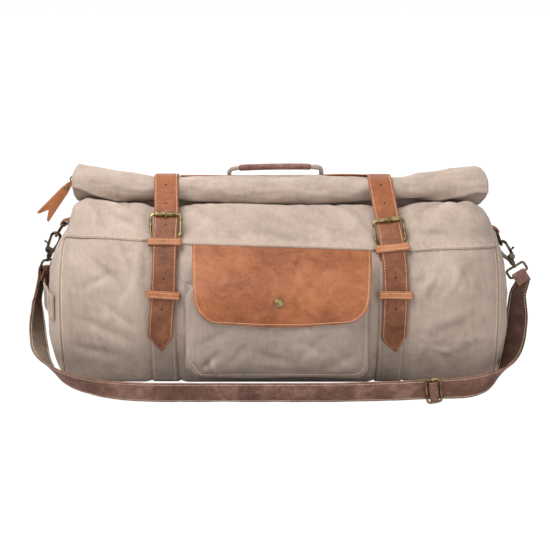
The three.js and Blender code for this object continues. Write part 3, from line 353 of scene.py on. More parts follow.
def sum_of(tree, *terms):
    """The sum of weight times value."""
    total = 0.0
    for weight, value in terms:
        total = weighted(tree, value, weight, total)
    return total


def stretched_by(tree, place, factors):
    """A place with each axis multiplied."""
    return add_node(tree, "ShaderNodeVectorMath", {0: place, 1: factors}, operation="MULTIPLY").outputs[0]


def noise_at(tree, place, scale, detail, kind="FBM", **more):
    """Noise at a place; more inputs go by their names on the node."""
    inputs = {"Vector": place, "Scale": scale, "Detail": detail, **more}
    return add_node(tree, "ShaderNodeTexNoise", inputs, noise_type=kind).outputs["Fac"]


def layered_noise(tree, place, layers, detail, distortion):
    """Noise of several scales, added by weight; layers are pairs of weight and scale."""
    made = [(weight, noise_at(tree, place, scale, detail, Distortion=distortion)) for weight, scale in layers]
    return sum_of(tree, *made)


def remap(tree, value, low, high, to_low=0.0, to_high=1.0):
    """A value stretched from one range to another."""
    inputs = {0: value, 1: low, 2: high, 3: to_low, 4: to_high}
    return add_node(tree, "ShaderNodeMapRange", inputs).outputs[0]


def blend(tree, factor, first, second):
    """Two colours mixed by a factor."""
    return add_node(tree, "ShaderNodeMix", {0: factor, 6: first, 7: second}, data_type="RGBA").outputs[2]


def bump(tree, height, strength, distance):
    """A surface direction tilted by a height."""
    inputs = {"Strength": strength, "Distance": distance, "Height": height}
    return add_node(tree, "ShaderNodeBump", inputs).outputs[0]


def new_group(name, inputs, outputs):
    """An empty shader group with these inputs (name, kind, value) and number outputs."""
    group = bpy.data.node_groups.new(name, "ShaderNodeTree")
    for label, kind, value in inputs:
        socket = group.interface.new_socket(label, in_out="INPUT", socket_type=kind)
        if value is not None:
            socket.default_value = value
    for label in outputs:
        group.interface.new_socket(label, in_out="OUTPUT", socket_type=NUMBER)
    return group, group.nodes.new("NodeGroupInput").outputs, group.nodes.new("NodeGroupOutput")


# %% Canvas weave: threads that go over and under each other, some thicker than others
THREADS_PER_METRE = 900.0
SLUB_STRETCHES = [(35.0, 700.0, 1.0), (700.0, 35.0, 1.0)]
weave, given, weave_out = new_group(
    "canvas_weave", [("Cloth", VECTOR, None), ("Threads per metre", NUMBER, THREADS_PER_METRE)],
    ["Height", "Slub"],
)
cloth = given["Cloth"]
waver = add_node(
    weave, "ShaderNodeTexNoise", {"Vector": cloth, "Scale": 160.0, "Detail": 1.0},
).outputs["Color"]
wavy = add_node(
    weave, "ShaderNodeVectorMath", {0: waver, 1: (0.0006, 0.0006, 0), 2: cloth}, operation="MULTIPLY_ADD",
)
split = add_node(weave, "ShaderNodeSeparateXYZ", {0: wavy.outputs[0]})
warp, weft = [math_node(weave, "MULTIPLY", split.outputs[axis], given["Threads per metre"]) for axis in "XY"]
ridges = [
    math_node(weave, "ABSOLUTE", math_node(weave, "SINE", math_node(weave, "MULTIPLY", side, math.pi)))
    for side in (warp, weft)
]
crossing = math_node(weave, "ADD", math_node(weave, "FLOOR", warp), math_node(weave, "FLOOR", weft))
over = math_node(weave, "FLOORED_MODULO", crossing, 2.0)
woven = add_node(weave, "ShaderNodeMix", {0: over, 2: ridges[0], 3: ridges[1]}, data_type="FLOAT")
slubs = [noise_at(weave, stretched_by(weave, cloth, factors), 1.0, 2.0) for factors in SLUB_STRETCHES]
set_inputs(
    weave, weave_out, {"Height": woven.outputs[0], "Slub": sum_of(weave, *[(0.5, slub) for slub in slubs])},
)

# %% Washed cloth: cloudy fading, hanging streaks, and fine crumples that the mesh is too coarse for
CLOUD_LAYERS = [(0.4, 9.0), (0.36, 34.0), (0.24, 130.0)]
STREAK_STRETCH = (210.0, 210.0, 34.0)
wash, given, wash_out = new_group("washed_cloth", [("Place", VECTOR, None)], ["Cloud", "Crumple", "Streak"])
place = given["Place"]
set_inputs(wash, wash_out, {
    "Cloud": layered_noise(wash, place, CLOUD_LAYERS, 6.0, 0.7),
    "Crumple": noise_at(wash, place, 75.0, 5.0, "RIDGED_MULTIFRACTAL", Roughness=0.6),
    "Streak": noise_at(wash, stretched_by(wash, place, STREAK_STRETCH), 1.0, 4.0, Distortion=0.4),
})

# %% Leather grain: small pebbles, with the cloudy pull-up and scuffs of oiled hide
PEBBLES_PER_METRE = 620.0
PULL_LAYERS = [(0.45, 16.0), (0.33, 60.0), (0.22, 260.0)]
SCUFF_TURN, SCUFF_STRETCH = (0.4, 0.3, 0.6), (40, 420, 60)
hide, given, hide_out = new_group(
    "oiled_hide", [("Place", VECTOR, None), ("Pebbles per metre", NUMBER, PEBBLES_PER_METRE)],
    ["Grain", "Pull-up", "Scuff"],
)
place = given["Place"]
pebbles = {"Vector": place, "Scale": given["Pebbles per metre"]}
pebble = add_node(hide, "ShaderNodeTexVoronoi", pebbles, feature="DISTANCE_TO_EDGE").outputs["Distance"]
scratched = add_node(hide, "ShaderNodeMapping", {0: place, 2: SCUFF_TURN, 3: SCUFF_STRETCH}).outputs[0]
set_inputs(hide, hide_out, {
    "Grain": sum_of(hide, (0.9, pebble), (0.35, noise_at(hide, place, 900.0, 3.0))),
    "Pull-up": layered_noise(hide, place, PULL_LAYERS, 7.0, 1.1),
    "Scuff": remap(hide, noise_at(hide, scratched, 1.0, 4.0, Distortion=1.5), 0.56, 0.74),
})

# %% Edge wear: the edge mask broken up by noise, so that wear comes and goes
wear, given, wear_out = new_group("edge_wear", [("Edge", NUMBER, 0.0), ("Place", VECTOR, None)], ["Worn"])
patchy = remap(wear, noise_at(wear, given["Place"], 70.0, 5.0), 0.3, 0.65)
set_inputs(wear, wear_out, {"Worn": math_node(wear, "MULTIPLY", given["Edge"], patchy)})
print("groups:", [group.name for group in (weave, wash, hide, wear)])

# %% [markdown]
# ## Materials
# Canvas is dull: a rough surface with a little sheen from loose fibres, lighter where folds stand up and
# have been rubbed, and darker in the valleys, where shade is painted into its colour. Oiled leather is
# smoother and takes its life from the pull-up marks and from its dark, rubbed edges. The hardware is antique
# brass, with dark tarnish in clouds over the brighter alloy.

# %% Kinds of material
def new_material(name):
    """A material with its tree, its shader and the place on the piece."""
    made = bpy.data.materials.new(name)
    made.use_nodes = True
    tree = made.node_tree
    place = add_node(tree, "ShaderNodeTexCoord").outputs["Object"]
    return made, tree, tree.nodes["Principled BSDF"], place


def use_group(tree, group, inputs):
    """One of the groups above, placed in a material; gives its outputs."""
    return add_node(tree, "ShaderNodeGroup", inputs, node_tree=group).outputs


def colour_steps(tree, factor, places, colours):
    """Colours at places from 0 to 1, blended by a factor."""
    ramp = tree.nodes.new("ShaderNodeValToRGB")
    bar = ramp.color_ramp
    while len(bar.elements) < len(colours):
        bar.elements.new(0.5)
    for element, place, colour in zip(bar.elements, places, colours):
        element.position = place
        element.color = (*colour, 1)
    tree.links.new(factor, ramp.inputs[0])
    return ramp.outputs[0]


def read_mask(tree, name):
    """A mask of the mesh."""
    return add_node(tree, "ShaderNodeAttribute", attribute_name=name).outputs["Fac"]


def canvas(name, *colours):
    """Washed canvas; the fold mask lightens rubbed ridges and paints shade into the valleys."""
    made, tree, shader, place = new_material(name)
    cloth = add_node(tree, "ShaderNodeUVMap", uv_map="cloth").outputs[0]
    threads = use_group(tree, weave, {"Cloth": cloth, "Threads per metre": THREADS_PER_METRE})
    washed = use_group(tree, wash, {"Place": place})
    shade = sum_of(
        tree, (1.0, washed["Cloud"]), (0.30, threads["Slub"]), (0.12, threads["Height"]),
        (1.1, read_mask(tree, "fold")), (0.14, washed["Crumple"]), (0.32, washed["Streak"]),
    )
    shade = math_node(tree, "SUBTRACT", shade, 0.475)
    height = sum_of(
        tree, (0.6, threads["Height"]), (0.8, threads["Slub"]), (1.1, washed["Crumple"]),
        (0.45, washed["Streak"]),
    )
    set_inputs(tree, shader, {
        "Base Color": colour_steps(tree, shade, (0.12, 0.5, 0.85), colours),
        "Normal": bump(tree, height, 0.55, 0.0005),
        "Roughness": 0.88, "Specular IOR Level": 0.22, "Sheen Weight": 0.12, "Sheen Roughness": 0.6,
    })
    return made


def leather(name, colours, edge_colour, pebbles=PEBBLES_PER_METRE, lighter_steps=None):
    """Oiled leather with pull-up marks, scuffs and rubbed edges; the tone mask blends in a second, lighter
    set of colours.
    """
    made, tree, shader, place = new_material(name)
    steps = (0.12, 0.5, 0.9)
    skin = use_group(tree, hide, {"Place": place, "Pebbles per metre": pebbles})
    rub = use_group(tree, wear, {"Edge": read_mask(tree, "edge"), "Place": place})
    shade = weighted(tree, skin["Pull-up"], 2.1, -0.55)
    base = colour_steps(tree, shade, steps, colours)
    if lighter_steps:
        base = blend(tree, read_mask(tree, "tone"), base, colour_steps(tree, shade, steps, lighter_steps))
    scuffed = blend(tree, math_node(tree, "MULTIPLY", skin["Scuff"], 0.35), base, (*colours[-1], 1))
    rubbed = math_node(tree, "MULTIPLY", rub["Worn"], 0.6)
    set_inputs(tree, shader, {
        "Base Color": blend(tree, rubbed, scuffed, (*edge_colour, 1)),
        "Roughness": remap(tree, skin["Pull-up"], 0.3, 0.7, 0.62, 0.44),
        "Normal": bump(tree, skin["Grain"], 0.5, 0.00045),
        "Specular IOR Level": 0.35,
    })
    return made


def metal(name, dark, bright, tarnish):
    """Antique metal: tarnish in clouds over a brighter alloy."""
    made, tree, shader, place = new_material(name)
    clouds = noise_at(tree, place, 150.0, 6.0, Roughness=0.6)
    shade = remap(tree, clouds, 0.32, 0.68)
    set_inputs(tree, shader, {
        "Base Color": colour_steps(tree, shade, (tarnish, 1.0), (dark, bright)),
        "Roughness": remap(tree, clouds, 0.3, 0.7, 0.55, 0.27),
        "Normal": bump(tree, noise_at(tree, place, 1400.0, 2.0), 0.25, 0.0002),
        "Metallic": 1.0,
    })
    return made


def thread(name, dark, light):
    """Waxed sewing thread, a little uneven in colour."""
    made, tree, shader, place = new_material(name)
    twist = noise_at(tree, place, 420.0, 2.0)
    set_inputs(tree, shader, {
        "Base Color": colour_steps(tree, twist, (0.3, 0.7), (dark, light)), "Roughness": 0.75,
    })
    return made


# %% Colours, from dark to light
CANVAS = canvas("taupe_canvas", (0.34, 0.262, 0.214), (0.5, 0.392, 0.326), (0.64, 0.525, 0.45))
# Pocket canvas: darker as painted shade, since the pocket faces forward under the flap, and a little greyer
# in its own hue.
CANVAS_POCKET_SHADED = canvas("pocket_canvas_shaded", (0.27, 0.212, 0.174), (0.395, 0.312, 0.26), (0.52, 0.427, 0.366))
CANVAS_DARK = canvas("shaded_canvas", (0.29, 0.225, 0.184), (0.42, 0.33, 0.275), (0.55, 0.45, 0.385))
TAN_STEPS = [(0.18, 0.052, 0.018), (0.325, 0.105, 0.039), (0.47, 0.177, 0.072)]
PALE_STEPS = [(0.28, 0.10, 0.042), (0.46, 0.18, 0.08), (0.62, 0.28, 0.14)]
BROWN_STEPS = [(0.10, 0.034, 0.016), (0.208, 0.072, 0.033), (0.34, 0.14, 0.068)]
# Lighter browns for the buckle straps above the buckle, over the top of the roll.
BROWN_LIGHTER = [(0.165, 0.046, 0.015), (0.305, 0.096, 0.033), (0.45, 0.166, 0.064)]
DARK_STEPS = [(0.07, 0.03, 0.02), (0.185, 0.084, 0.06), (0.40, 0.24, 0.185)]
SUEDE_STEPS = [(0.028, 0.010, 0.005), (0.062, 0.024, 0.012), (0.13, 0.06, 0.034)]
# Lighter colours for the suede side in its low bend at the left end: painted light from the white floor.
SUEDE_FLOOR_LIT = [(0.09, 0.062, 0.042), (0.19, 0.142, 0.104), (0.32, 0.25, 0.19)]
LEATHER_TAN = leather("tan_leather", TAN_STEPS, (0.60, 0.27, 0.13))
LEATHER_PALE = leather("keeper_leather", PALE_STEPS, (0.66, 0.33, 0.17))
LEATHER_BROWN = leather("brown_leather", BROWN_STEPS, (0.42, 0.16, 0.068), lighter_steps=BROWN_LIGHTER)
LEATHER_DARK = leather("dark_brown_leather", DARK_STEPS, (0.32, 0.145, 0.09))
LEATHER_SUEDE = leather("suede_side", SUEDE_STEPS, (0.2, 0.09, 0.05), pebbles=1500.0, lighter_steps=SUEDE_FLOOR_LIT)
BRASS = metal("antique_brass", (0.09, 0.066, 0.03), (0.50, 0.39, 0.18), 0.1)
BRONZE = metal("dark_bronze", (0.035, 0.029, 0.022), (0.24, 0.19, 0.125), 0.15)
THREAD_CREAM = thread("cream_thread", (0.68, 0.53, 0.38), (0.88, 0.73, 0.57))
THREAD_PEACH = thread("peach_thread", (0.66, 0.36, 0.20), (0.86, 0.56, 0.36))
# Near-black discs for the punched holes: painted shade standing in for the dark gaps the holes open onto.
HOLE_SHADE = thread("punched_hole_shade", (0.010, 0.006, 0.004), (0.022, 0.012, 0.008))
print("materials:", len(bpy.data.materials))

# %% [markdown]
# ## The canvas body
# The body is a tube of canvas closed by two bulging ends, standing on a flattened underside. Its section is
# a superellipse, between an ellipse and a box, read from a short table of stations along the bag. A finer
# grid than the frame's carries the folds: long soft creases that hang from the seams and straps, and small
# crumples from noise. A cloth simulation could crumple it too, but creases from a table land where the real
# ones do.

# %% Body sections
SEAM_X = 262
SECTION_POWER = 2.4
SAG = 8
BAND_X = 138
BAND_BED = 1.85
MOUTH = {"half": 213, "front": -9, "back": 5}
HALF_STATIONS = np.array([
    # x, half depth, top, underside
    (0, 121, 212, 0),
    (114, 121, 212, 0),
    (120, 117, 212, BAND_BED),
    (156, 117, 212, BAND_BED),
    (163, 120, 214, 0),
    (200, 120, 215, 0),
    (232, 115, 213, 0),
    (250, 109, 203, 2),
    (262, 100, 182, 6),
], dtype=float)
SEAM_ROWS = np.array([
    # x, height of the yoke seam, which runs slanting across the front
    (-262, 176.5), (-256, 182.5), (-250, 185.5), (-225, 187.8), (-200, 187.8), (-138, 183.8), (-100, 181.5),
    (0, 179), (100, 176), (138, 174.5), (160, 174.5), (200, 177), (240, 176.5), (250, 175.3), (256, 173.4),
    (262, 171),
], dtype=float)
ROUND_THE_BODY = np.linspace(-math.pi / 2, 1.5 * math.pi, 1441)
fine_x = np.linspace(0, SEAM_X, 263)
fine_table = rounded(read_rows(fine_x, HALF_STATIONS[:, 0], HALF_STATIONS[:, 1:]), 3)


def rounded_to_box(part):
    """A sine or cosine pushed out toward the corners of a box."""
    return np.sign(part) * np.abs(part) ** (2 / SECTION_POWER)


def body_section(x, angles):
    """Points (y, z) of the body's section at x, from the underside up the back and over the top."""
    depth, top, underside = read_rows(abs(x), fine_x, fine_table)
    half = (top - underside + SAG) / 2
    y = depth * rounded_to_box(np.cos(angles))
    z = top - half + half * rounded_to_box(np.sin(angles))
    return np.stack([y, np.maximum(z, underside)], axis=1)


def seam_height(x):
    """Height of the yoke seam at x."""
    return np.interp(x, *SEAM_ROWS.T)


def cut_section(x, height):
    """The section above a height, from back to front over the top, and the rest, from front to back below."""
    line = body_section(x, ROUND_THE_BODY)
    above = np.nonzero(line[:, 1] >= height)[0]
    first, last = above[0], above[-1]

    def crossing(i, j):
        share = (height - line[i, 1]) / (line[j, 1] - line[i, 1])
        return line[i] + share * (line[j] - line[i])

    back, front = crossing(first - 1, first), crossing(last, last + 1)
    upper = np.vstack([back, line[first:last + 1], front])
    lower = np.vstack([front, line[last + 1:], line[1:first], back])
    return upper, lower


# %% [markdown]
# Creases are a table of straight strokes on the cloth map: x along the bag, v up from the front yoke seam
# or, on the back, from the back one. Each stroke is a narrow valley with a soft ridge beside it. The
# strokes named here are those that show in the photograph; a seeded generator scatters weaker ones over the
# rest.

# %% Creases
SHOWN_CREASES = [
    # side (front is -1), x and v of both ends, half width, depth
    (-1, -232, -20, -182, -62, 5, 1.5), (-1, -236, -66, -196, -44, 4, 1.2), (-1, -188, -8, -168, -52, 4, 1.2),
    (-1, -240, -100, -176, -128, 6, 1.6), (-1, -206, -84, -166, -112, 4, 1.2),
    (-1, -246, -140, -190, -150, 6, 1.6),
    (-1, 232, -16, 204, -66, 4, 1.4), (-1, 212, -10, 230, -52, 4, 1.4), (-1, 196, -26, 176, -70, 4, 1.2),
    (-1, 236, -84, 180, -108, 6, 1.5), (-1, 242, -118, 196, -142, 6, 1.6), (-1, 184, -120, 170, -150, 4, 1.2),
    (-1, -124, -2, -118, -60, 5, 1.6), (-1, 122, -8, 119, -70, 5, 1.6), (-1, -158, -4, -161, -70, 5, 1.4),
    (-1, -214, 70, -176, 40, 6, 1.6), (-1, -206, 36, -160, 18, 5, 1.3), (-1, -112, 60, -70, 34, 6, 1.3),
    (-1, -60, 78, 20, 62, 7, 1.2), (-1, 60, 74, 108, 44, 6, 1.5), (-1, 172, 52, 222, 76, 6, 1.8),
    (-1, 164, 30, 216, 20, 5, 1.3), (-1, 20, 44, 90, 22, 5, 1.0), (-1, -40, 30, 30, 12, 5, 0.9),
    (-1, 200, 84, 238, 46, 6, 1.6), (-1, -236, 76, -206, 92, 6, 1.8), (-1, 120, 20, 100, 48, 4, 1.2),
]
BELOW_SEAM, ABOVE_SEAM = (90, -190, -6), (34, 8, 105)
scatter = np.random.default_rng(7)


def scattered_creases(side, count, low, high):
    """Weaker strokes over a panel, most of them slanting."""
    made = []
    for _ in range(count):
        x, v = scatter.uniform(-245, 245), scatter.uniform(low, high)
        angle, length = scatter.normal(0.9, 0.7) * scatter.choice([-1, 1]), scatter.uniform(14, 62)
        dx, dv = length * math.cos(angle), length * math.sin(angle)
        made.append((side, x, v, x + dx, v + dv, scatter.uniform(2.0, 5.0), scatter.uniform(0.2, 0.85)))
    return made


CREASES = list(SHOWN_CREASES)
for facing in (-1, 1):
    CREASES += scattered_creases(facing, *BELOW_SEAM) + scattered_creases(facing, *ABOVE_SEAM)


def crease_depth(x, v, side, creases):
    """How far the creases push each point of the cloth in (minus) or out."""
    moved = np.zeros_like(x)
    for which, x0, v0, x1, v1, width, depth in creases:
        run = np.array([x1 - x0, v1 - v0])
        share = np.clip(((x - x0) * run[0] + (v - v0) * run[1]) / (run @ run), 0, 1)
        off_x, off_v = (x - x0) - share * run[0], (v - v0) - share * run[1]
        beyond = np.hypot(off_x, off_v)
        one_side = off_x * run[1] - off_v * run[0] > 0
        valley = bump_at(beyond, 0, 0.8 * width)
        ridge = bump_at(beyond, 2.0 * width, 1.3 * width) * one_side
        strength = np.clip(4 * share * (1 - share), 0.05, 1) ** 0.6
        moved += np.where(side == which, depth * strength * (0.8 * ridge - valley), 0)
    return moved


def near_straps(x, reach=22):
    """1 over the bands and buckle straps, which hold the cloth flat, fading to 0."""
    return np.clip(1.5 - np.abs(np.abs(x) - BAND_X) / reach, 0, 1)


# %% How the bag is packed
SHOULDER_FILL = {
    "x": 252, "inward": 42, "outward": 26, "left": 19, "right": 14, "front": (-12, -36),
    "away": (-108, -58),
}
UNDER_ROLL = {"y": -46, "reach": 20, "rise": 14, "half": (266, 236), "at_straps": 0.35}
ABOVE_SEAM_FULL = 14
BELLY = {"height": 45, "forward": 13, "front": (-40, -72)}
PACKED_OUT = np.array([
    # x on an even bag, x on this one, whose ends are packed further out
    (-400, -400.5), (-290, -290.5), (-SEAM_X, -264.5), (-190, -190),
    (190, 190), (SEAM_X, 270), (290, 290.5), (400, 400.5),
])


def eased(share):
    """A share from 0 to 1 that starts and stops softly."""
    return share ** 2 * (3 - 2 * share)


def packed(points):
    """Panels as the bag was packed: full under the roll, at both ends and low at the front."""
    x, y, z = np.moveaxis(points, -1, 0)
    rise = np.where(x < 0, SHOULDER_FILL["left"], SHOULDER_FILL["right"])
    reach = np.where(np.abs(x) < SHOULDER_FILL["x"], SHOULDER_FILL["inward"], SHOULDER_FILL["outward"])
    high = fade(z - seam_height(x), 0, ABOVE_SEAM_FULL)
    in_front = eased(fade(y, *SHOULDER_FILL["front"])) * eased(fade(y, *SHOULDER_FILL["away"]))
    lift = rise * bump_at(np.abs(x), SHOULDER_FILL["x"], reach) * in_front * high
    swell = UNDER_ROLL["rise"] * bump_at(y, UNDER_ROLL["y"], UNDER_ROLL["reach"]) * high
    swell = swell * fade(np.abs(x), *UNDER_ROLL["half"]) * (1 - UNDER_ROLL["at_straps"] * near_straps(x))
    forward = BELLY["forward"] * fade(z, BELLY["height"], 0) ** 1.5 * fade(y, *BELLY["front"])
    return np.stack([np.interp(x, *PACKED_OUT.T), y - forward, z + np.hypot(lift, swell)], axis=-1)


# %% Lower panel and yoke
PANEL_X = np.linspace(-SEAM_X, SEAM_X, 181)
PANEL_WALL = 1.7
YOKE_LAP = 3.0
LOWER_COUNT, YOKE_COUNT = 190, 96
PUSH_LIMITS = (-4.5, 3.0)
FOLD_SHADE = 0.09
FOLD_LIMITS = (-0.3, 0.3)
HOLD = {
    "seam_lower": 14, "seam_yoke": 12, "end": 16, "at_seam": 0.12, "at_end": 0.1, "straps": 0.85,
    "pocket": 0.15,
}
POCKET_REACH = {"half": 112, "low": 24}
PUCKER = {"wave": 8.5, "height": 0.35, "reach": 9.0}


def grid_normals(points):
    """Outward directions of a grid of points shaped (rows, columns, 3)."""
    return unit(np.cross(np.gradient(points, axis=1), np.gradient(points, axis=0)))


def cloth_piece(name, points, cloth_map, fold, faces, wall, finish):
    """A canvas panel with its fold mask and its thickness turned inward."""
    made = piece(name, points, faces, finish, cloth_map)
    set_mask(made, "fold", np.clip(fold, *FOLD_LIMITS))
    give_wall(made, wall)
    return made


def folded_panel(grid, v_front, v_back, hold, seed):
    """How far each point of a panel is pushed out by folds, with less where something holds it."""
    side = np.where(grid[..., 1] < 0, -1, 1)
    creased = crease_depth(grid[..., 0], np.where(side < 0, v_front, v_back), side, CREASES)
    crumple = soft_noise(grid, 34, seed) * 0.65 + soft_noise(grid, 11, seed + 3) * 0.4
    return (creased + crumple) * hold + soft_noise(grid, 120, seed + 5, 2) * 1.8 * hold ** 2


def held_at_ends(grid):
    """Less than 1 near the end seams and at the straps."""
    at_end = np.clip((SEAM_X - np.abs(grid[..., 0])) / HOLD["end"], HOLD["at_end"], 1)
    return at_end * (1 - HOLD["straps"] * near_straps(grid[..., 0]))


def pucker(grid, from_seam):
    """Small ripples that stitching pulls into the cloth beside a seam, away from the straps."""
    along = grid[..., 0]
    ripple = np.sin(2 * math.pi * along / PUCKER["wave"] + 2.2 * np.sin(along / 31.0))
    return PUCKER["height"] * ripple * bump_at(from_seam, 0, PUCKER["reach"]) * (1 - near_straps(along))


lower_rows, yoke_rows = [], []
for x in PANEL_X:
    height = seam_height(x)
    lower = spread(cut_section(x, height + YOKE_LAP)[1], LOWER_COUNT)
    yoke = spread(cut_section(x, height)[0], YOKE_COUNT)
    lower_rows.append(np.column_stack([np.full(LOWER_COUNT, x), lower]))
    yoke_rows.append(np.column_stack([np.full(YOKE_COUNT, x), yoke]))
lower_grid, yoke_grid = np.array(lower_rows), np.array(yoke_rows)
lower_v = np.array([YOKE_LAP - along_path(row) for row in lower_rows])
yoke_back_v = np.array([along_path(row) for row in yoke_rows])
yoke_front_v = yoke_back_v[:, -1:] - yoke_back_v

lower_back_v = lower_v[:, ::-1]
lower_x, lower_y, lower_z = np.moveaxis(lower_grid, -1, 0)
behind_pocket = (np.abs(lower_x) < POCKET_REACH["half"]) & (lower_y < 0) & (lower_z > POCKET_REACH["low"])
lower_hold = held_at_ends(lower_grid) * fade(lower_z, 3, 21) * np.where(behind_pocket, HOLD["pocket"], 1)
for v in (lower_v, lower_back_v):
    lower_hold = lower_hold * np.clip(-np.minimum(v, 0) / HOLD["seam_lower"], HOLD["at_seam"], 1)
lower_push = folded_panel(lower_grid, lower_v, lower_back_v, lower_hold, 1.0)
lower_seam = np.minimum(np.abs(lower_v), np.abs(lower_back_v))
lower_push += pucker(lower_grid, lower_seam) - fade(lower_seam, 5, 0)
lower_push = np.clip(lower_push, *PUSH_LIMITS)
lower_points = lower_grid + grid_normals(lower_grid) * lower_push[..., None]
lower_points[..., 2] = np.maximum(lower_points[..., 2], 0.0)
lower_points = packed(lower_points)
lower_panel = cloth_piece(
    "lower_panel_cloth", lower_points, np.stack([lower_x, lower_v], axis=-1), lower_push * FOLD_SHADE,
    grid_faces(len(PANEL_X), LOWER_COUNT), PANEL_WALL, CANVAS,
)

yoke_seam = np.minimum(yoke_back_v, yoke_front_v)
mouth_middle, mouth_half = (MOUTH["front"] + MOUTH["back"]) / 2, (MOUTH["back"] - MOUTH["front"]) / 2
from_mouth = np.abs(yoke_grid[..., 1] - mouth_middle) - mouth_half
yoke_hold = np.clip(yoke_seam / HOLD["seam_yoke"], HOLD["at_seam"], 1) * fade(from_mouth, 0, 14)
yoke_hold = yoke_hold * held_at_ends(yoke_grid)
yoke_push = folded_panel(yoke_grid, yoke_front_v, yoke_back_v, yoke_hold, 2.0)
yoke_push += pucker(yoke_grid, yoke_seam) + 0.8 * np.clip(1.6 - yoke_seam / 8, 0, 1)
yoke_push = np.clip(yoke_push, *PUSH_LIMITS)
yoke_points = packed(yoke_grid + grid_normals(yoke_grid) * yoke_push[..., None])
yoke_faces = np.array(grid_faces(len(PANEL_X), YOKE_COUNT))
middle_x, middle_y, _ = yoke_grid.reshape(-1, 3)[yoke_faces].mean(axis=1).T
in_mouth = (np.abs(middle_x) < MOUTH["half"]) & (middle_y > MOUTH["front"]) & (middle_y < MOUTH["back"])
yoke_panel = cloth_piece(
    "yoke_cloth", yoke_points, np.stack([yoke_grid[..., 0], yoke_back_v], axis=-1), yoke_push * FOLD_SHADE,
    yoke_faces[~in_mouth].tolist(), PANEL_WALL, CANVAS,
)
for made, node_name in ((lower_panel, "lower_panel"), (yoke_panel, "yoke_panel")):
    place_on(made, [node_name])
print("body panels:", len(lower_panel.data.polygons), "and", len(yoke_panel.data.polygons), "faces")

# %% [markdown]
# The end panels are domes: each is the outline of the end seam, shrunk ring by ring toward the middle while
# it swells outward. Slack in the cloth makes a few creases that run in from the seam.

# %% End panels
END = {
    "centre_z": 93, "bulge": 25.5, "rings": 34, "around": 200, "wall": 1.5, "shade": 0.08, "hub": 0.004,
    "floor": 0.6,
}


def end_panel(side):
    """The domed end at -X or +X."""
    outline = spread(body_section(SEAM_X, ROUND_THE_BODY), END["around"] + 1)[:-1]
    shrink = np.cos(np.linspace(0.0, math.pi / 2, END["rings"])) ** 0.85
    shrink[-1] = END["hub"]
    shrink = shrink[:, None]
    middle = np.array([0.0, END["centre_z"]])
    y, z = np.moveaxis(middle + (outline - middle) * shrink[..., None], -1, 0)
    out = END["bulge"] * (1 - shrink ** 2.2) ** 0.75
    grid = np.stack([np.broadcast_to(side * (SEAM_X + out), y.shape), y, z], axis=-1)
    bearing = np.arctan2(z - END["centre_z"], y)
    radial = 0.9 * np.sin(9 * bearing + side + 3 * shrink) + 0.6 * np.sin(17 * bearing - 2 * side)
    low_swell = 2.2 * fade(z, 100, 40)
    push = radial * shrink + 1.3 * soft_noise(grid, 38, 4.0 + side) + low_swell
    push = push * np.sin(np.pi * np.clip(1 - shrink, 0, 1))
    push[0] = -0.9
    push[1] = -0.5
    grid[..., 0] += side * push
    grid[..., 2] = np.maximum(grid[..., 2], END["floor"])
    points = packed(grid)
    faces = grid_faces(END["rings"], END["around"], closed=True)
    faces.append(end_faces(END["rings"], END["around"])[1][::-1])
    if side > 0:
        faces = [face[::-1] for face in faces]
    name = "left" if side < 0 else "right"
    made = cloth_piece(
        f"end_cloth_{name}", points, points[..., 1:], push * END["shade"], faces, END["wall"], CANVAS,
    )
    return place_on(made, [f"end_panel_{name}"])


end_panels = [end_panel(side) for side in (-1, 1)]
print("end panels:", [len(made.data.polygons) for made in end_panels])

# %% [markdown]
# ## The rolled mouth
# The mouth is a doubled edge of canvas, wound forward over itself about one and a half times and held down
# by the buckle straps. A spiral drawn at each place along the bag and joined into a surface gives the true
# roll, with its layers showing at the open ends. The straps pinch it, so its radius comes from a table.
# Past the straps the outer turn lifts off the one below it, which leaves a slanting fold and a shaded
# triangle of the under layer at each end.

# %% The roll
ROLL_Y = -18
ROLL_STATIONS = np.array([
    # x, centre height, half depth, half height
    (-253, 243.5, 25, 26.5), (-225, 242, 24, 24), (-216, 241.5, 24, 23), (-195, 239.5, 23.5, 21.5),
    (-168, 238, 22.5, 18), (-154, 237.5, 22, 16), (-120, 237.5, 22, 16), (-104, 236.5, 22.5, 18),
    (-56, 234.6, 24.5, 20.8), (50, 234.6, 24.5, 20.8), (96, 236, 22.5, 18), (110, 237, 22, 16),
    (156, 237, 22, 16),
    (172, 238, 22.5, 18), (195, 239.5, 23.5, 21), (216, 240.5, 24.5, 24), (236, 239, 25.5, 27.5),
    (253, 237.6, 26, 30.2), (261, 237, 23.5, 27.6),
], dtype=float)
ROLL = {"start": -60, "turns": 1.6, "cloth": 2.6, "pitch": 3.8}
LIFTED_FOLD = {"ends": (178, 246), "low": 262, "high": 186, "depth": 5.0, "last": 300}
ROUND_END = {"ends": (222, 255), "top": 7, "bottom_left": 5, "bottom_right": 12}
BESIDE_STRAP = {"off": 30, "reach": 16, "height": 1.3}
ROLL_X = np.linspace(ROLL_STATIONS[0, 0], ROLL_STATIONS[-1, 0], 196)
ROLL_STEPS = 150
roll_table = rounded(read_rows(ROLL_X, ROLL_STATIONS[:, 0], ROLL_STATIONS[:, 1:]), 2)


def roll_sizes(x):
    """Centre height, half depth and half height of the roll at x."""
    return read_rows(x, ROLL_X, roll_table)


turned = np.linspace(0, 360 * ROLL["turns"], ROLL_STEPS)
grid_x, grid_angle = np.meshgrid(ROLL_X, np.radians(ROLL["start"] + turned), indexing="ij")
centre_z, half_depth, half_height = [column[:, None] for column in roll_table.T]
from_middle = np.abs(grid_x)
roll_out = np.stack([np.zeros_like(grid_x), np.cos(grid_angle), np.sin(grid_angle)], axis=-1)


def roll_layer(extra):
    """The spiral at each place along the bag, moved in by an extra amount."""
    inset = ROLL["pitch"] * turned[None] / 360 + extra
    y = ROLL_Y + (half_depth - inset) * roll_out[..., 1]
    z = centre_z + (half_height - inset) * roll_out[..., 2]
    return np.stack([grid_x, y, z], axis=-1)


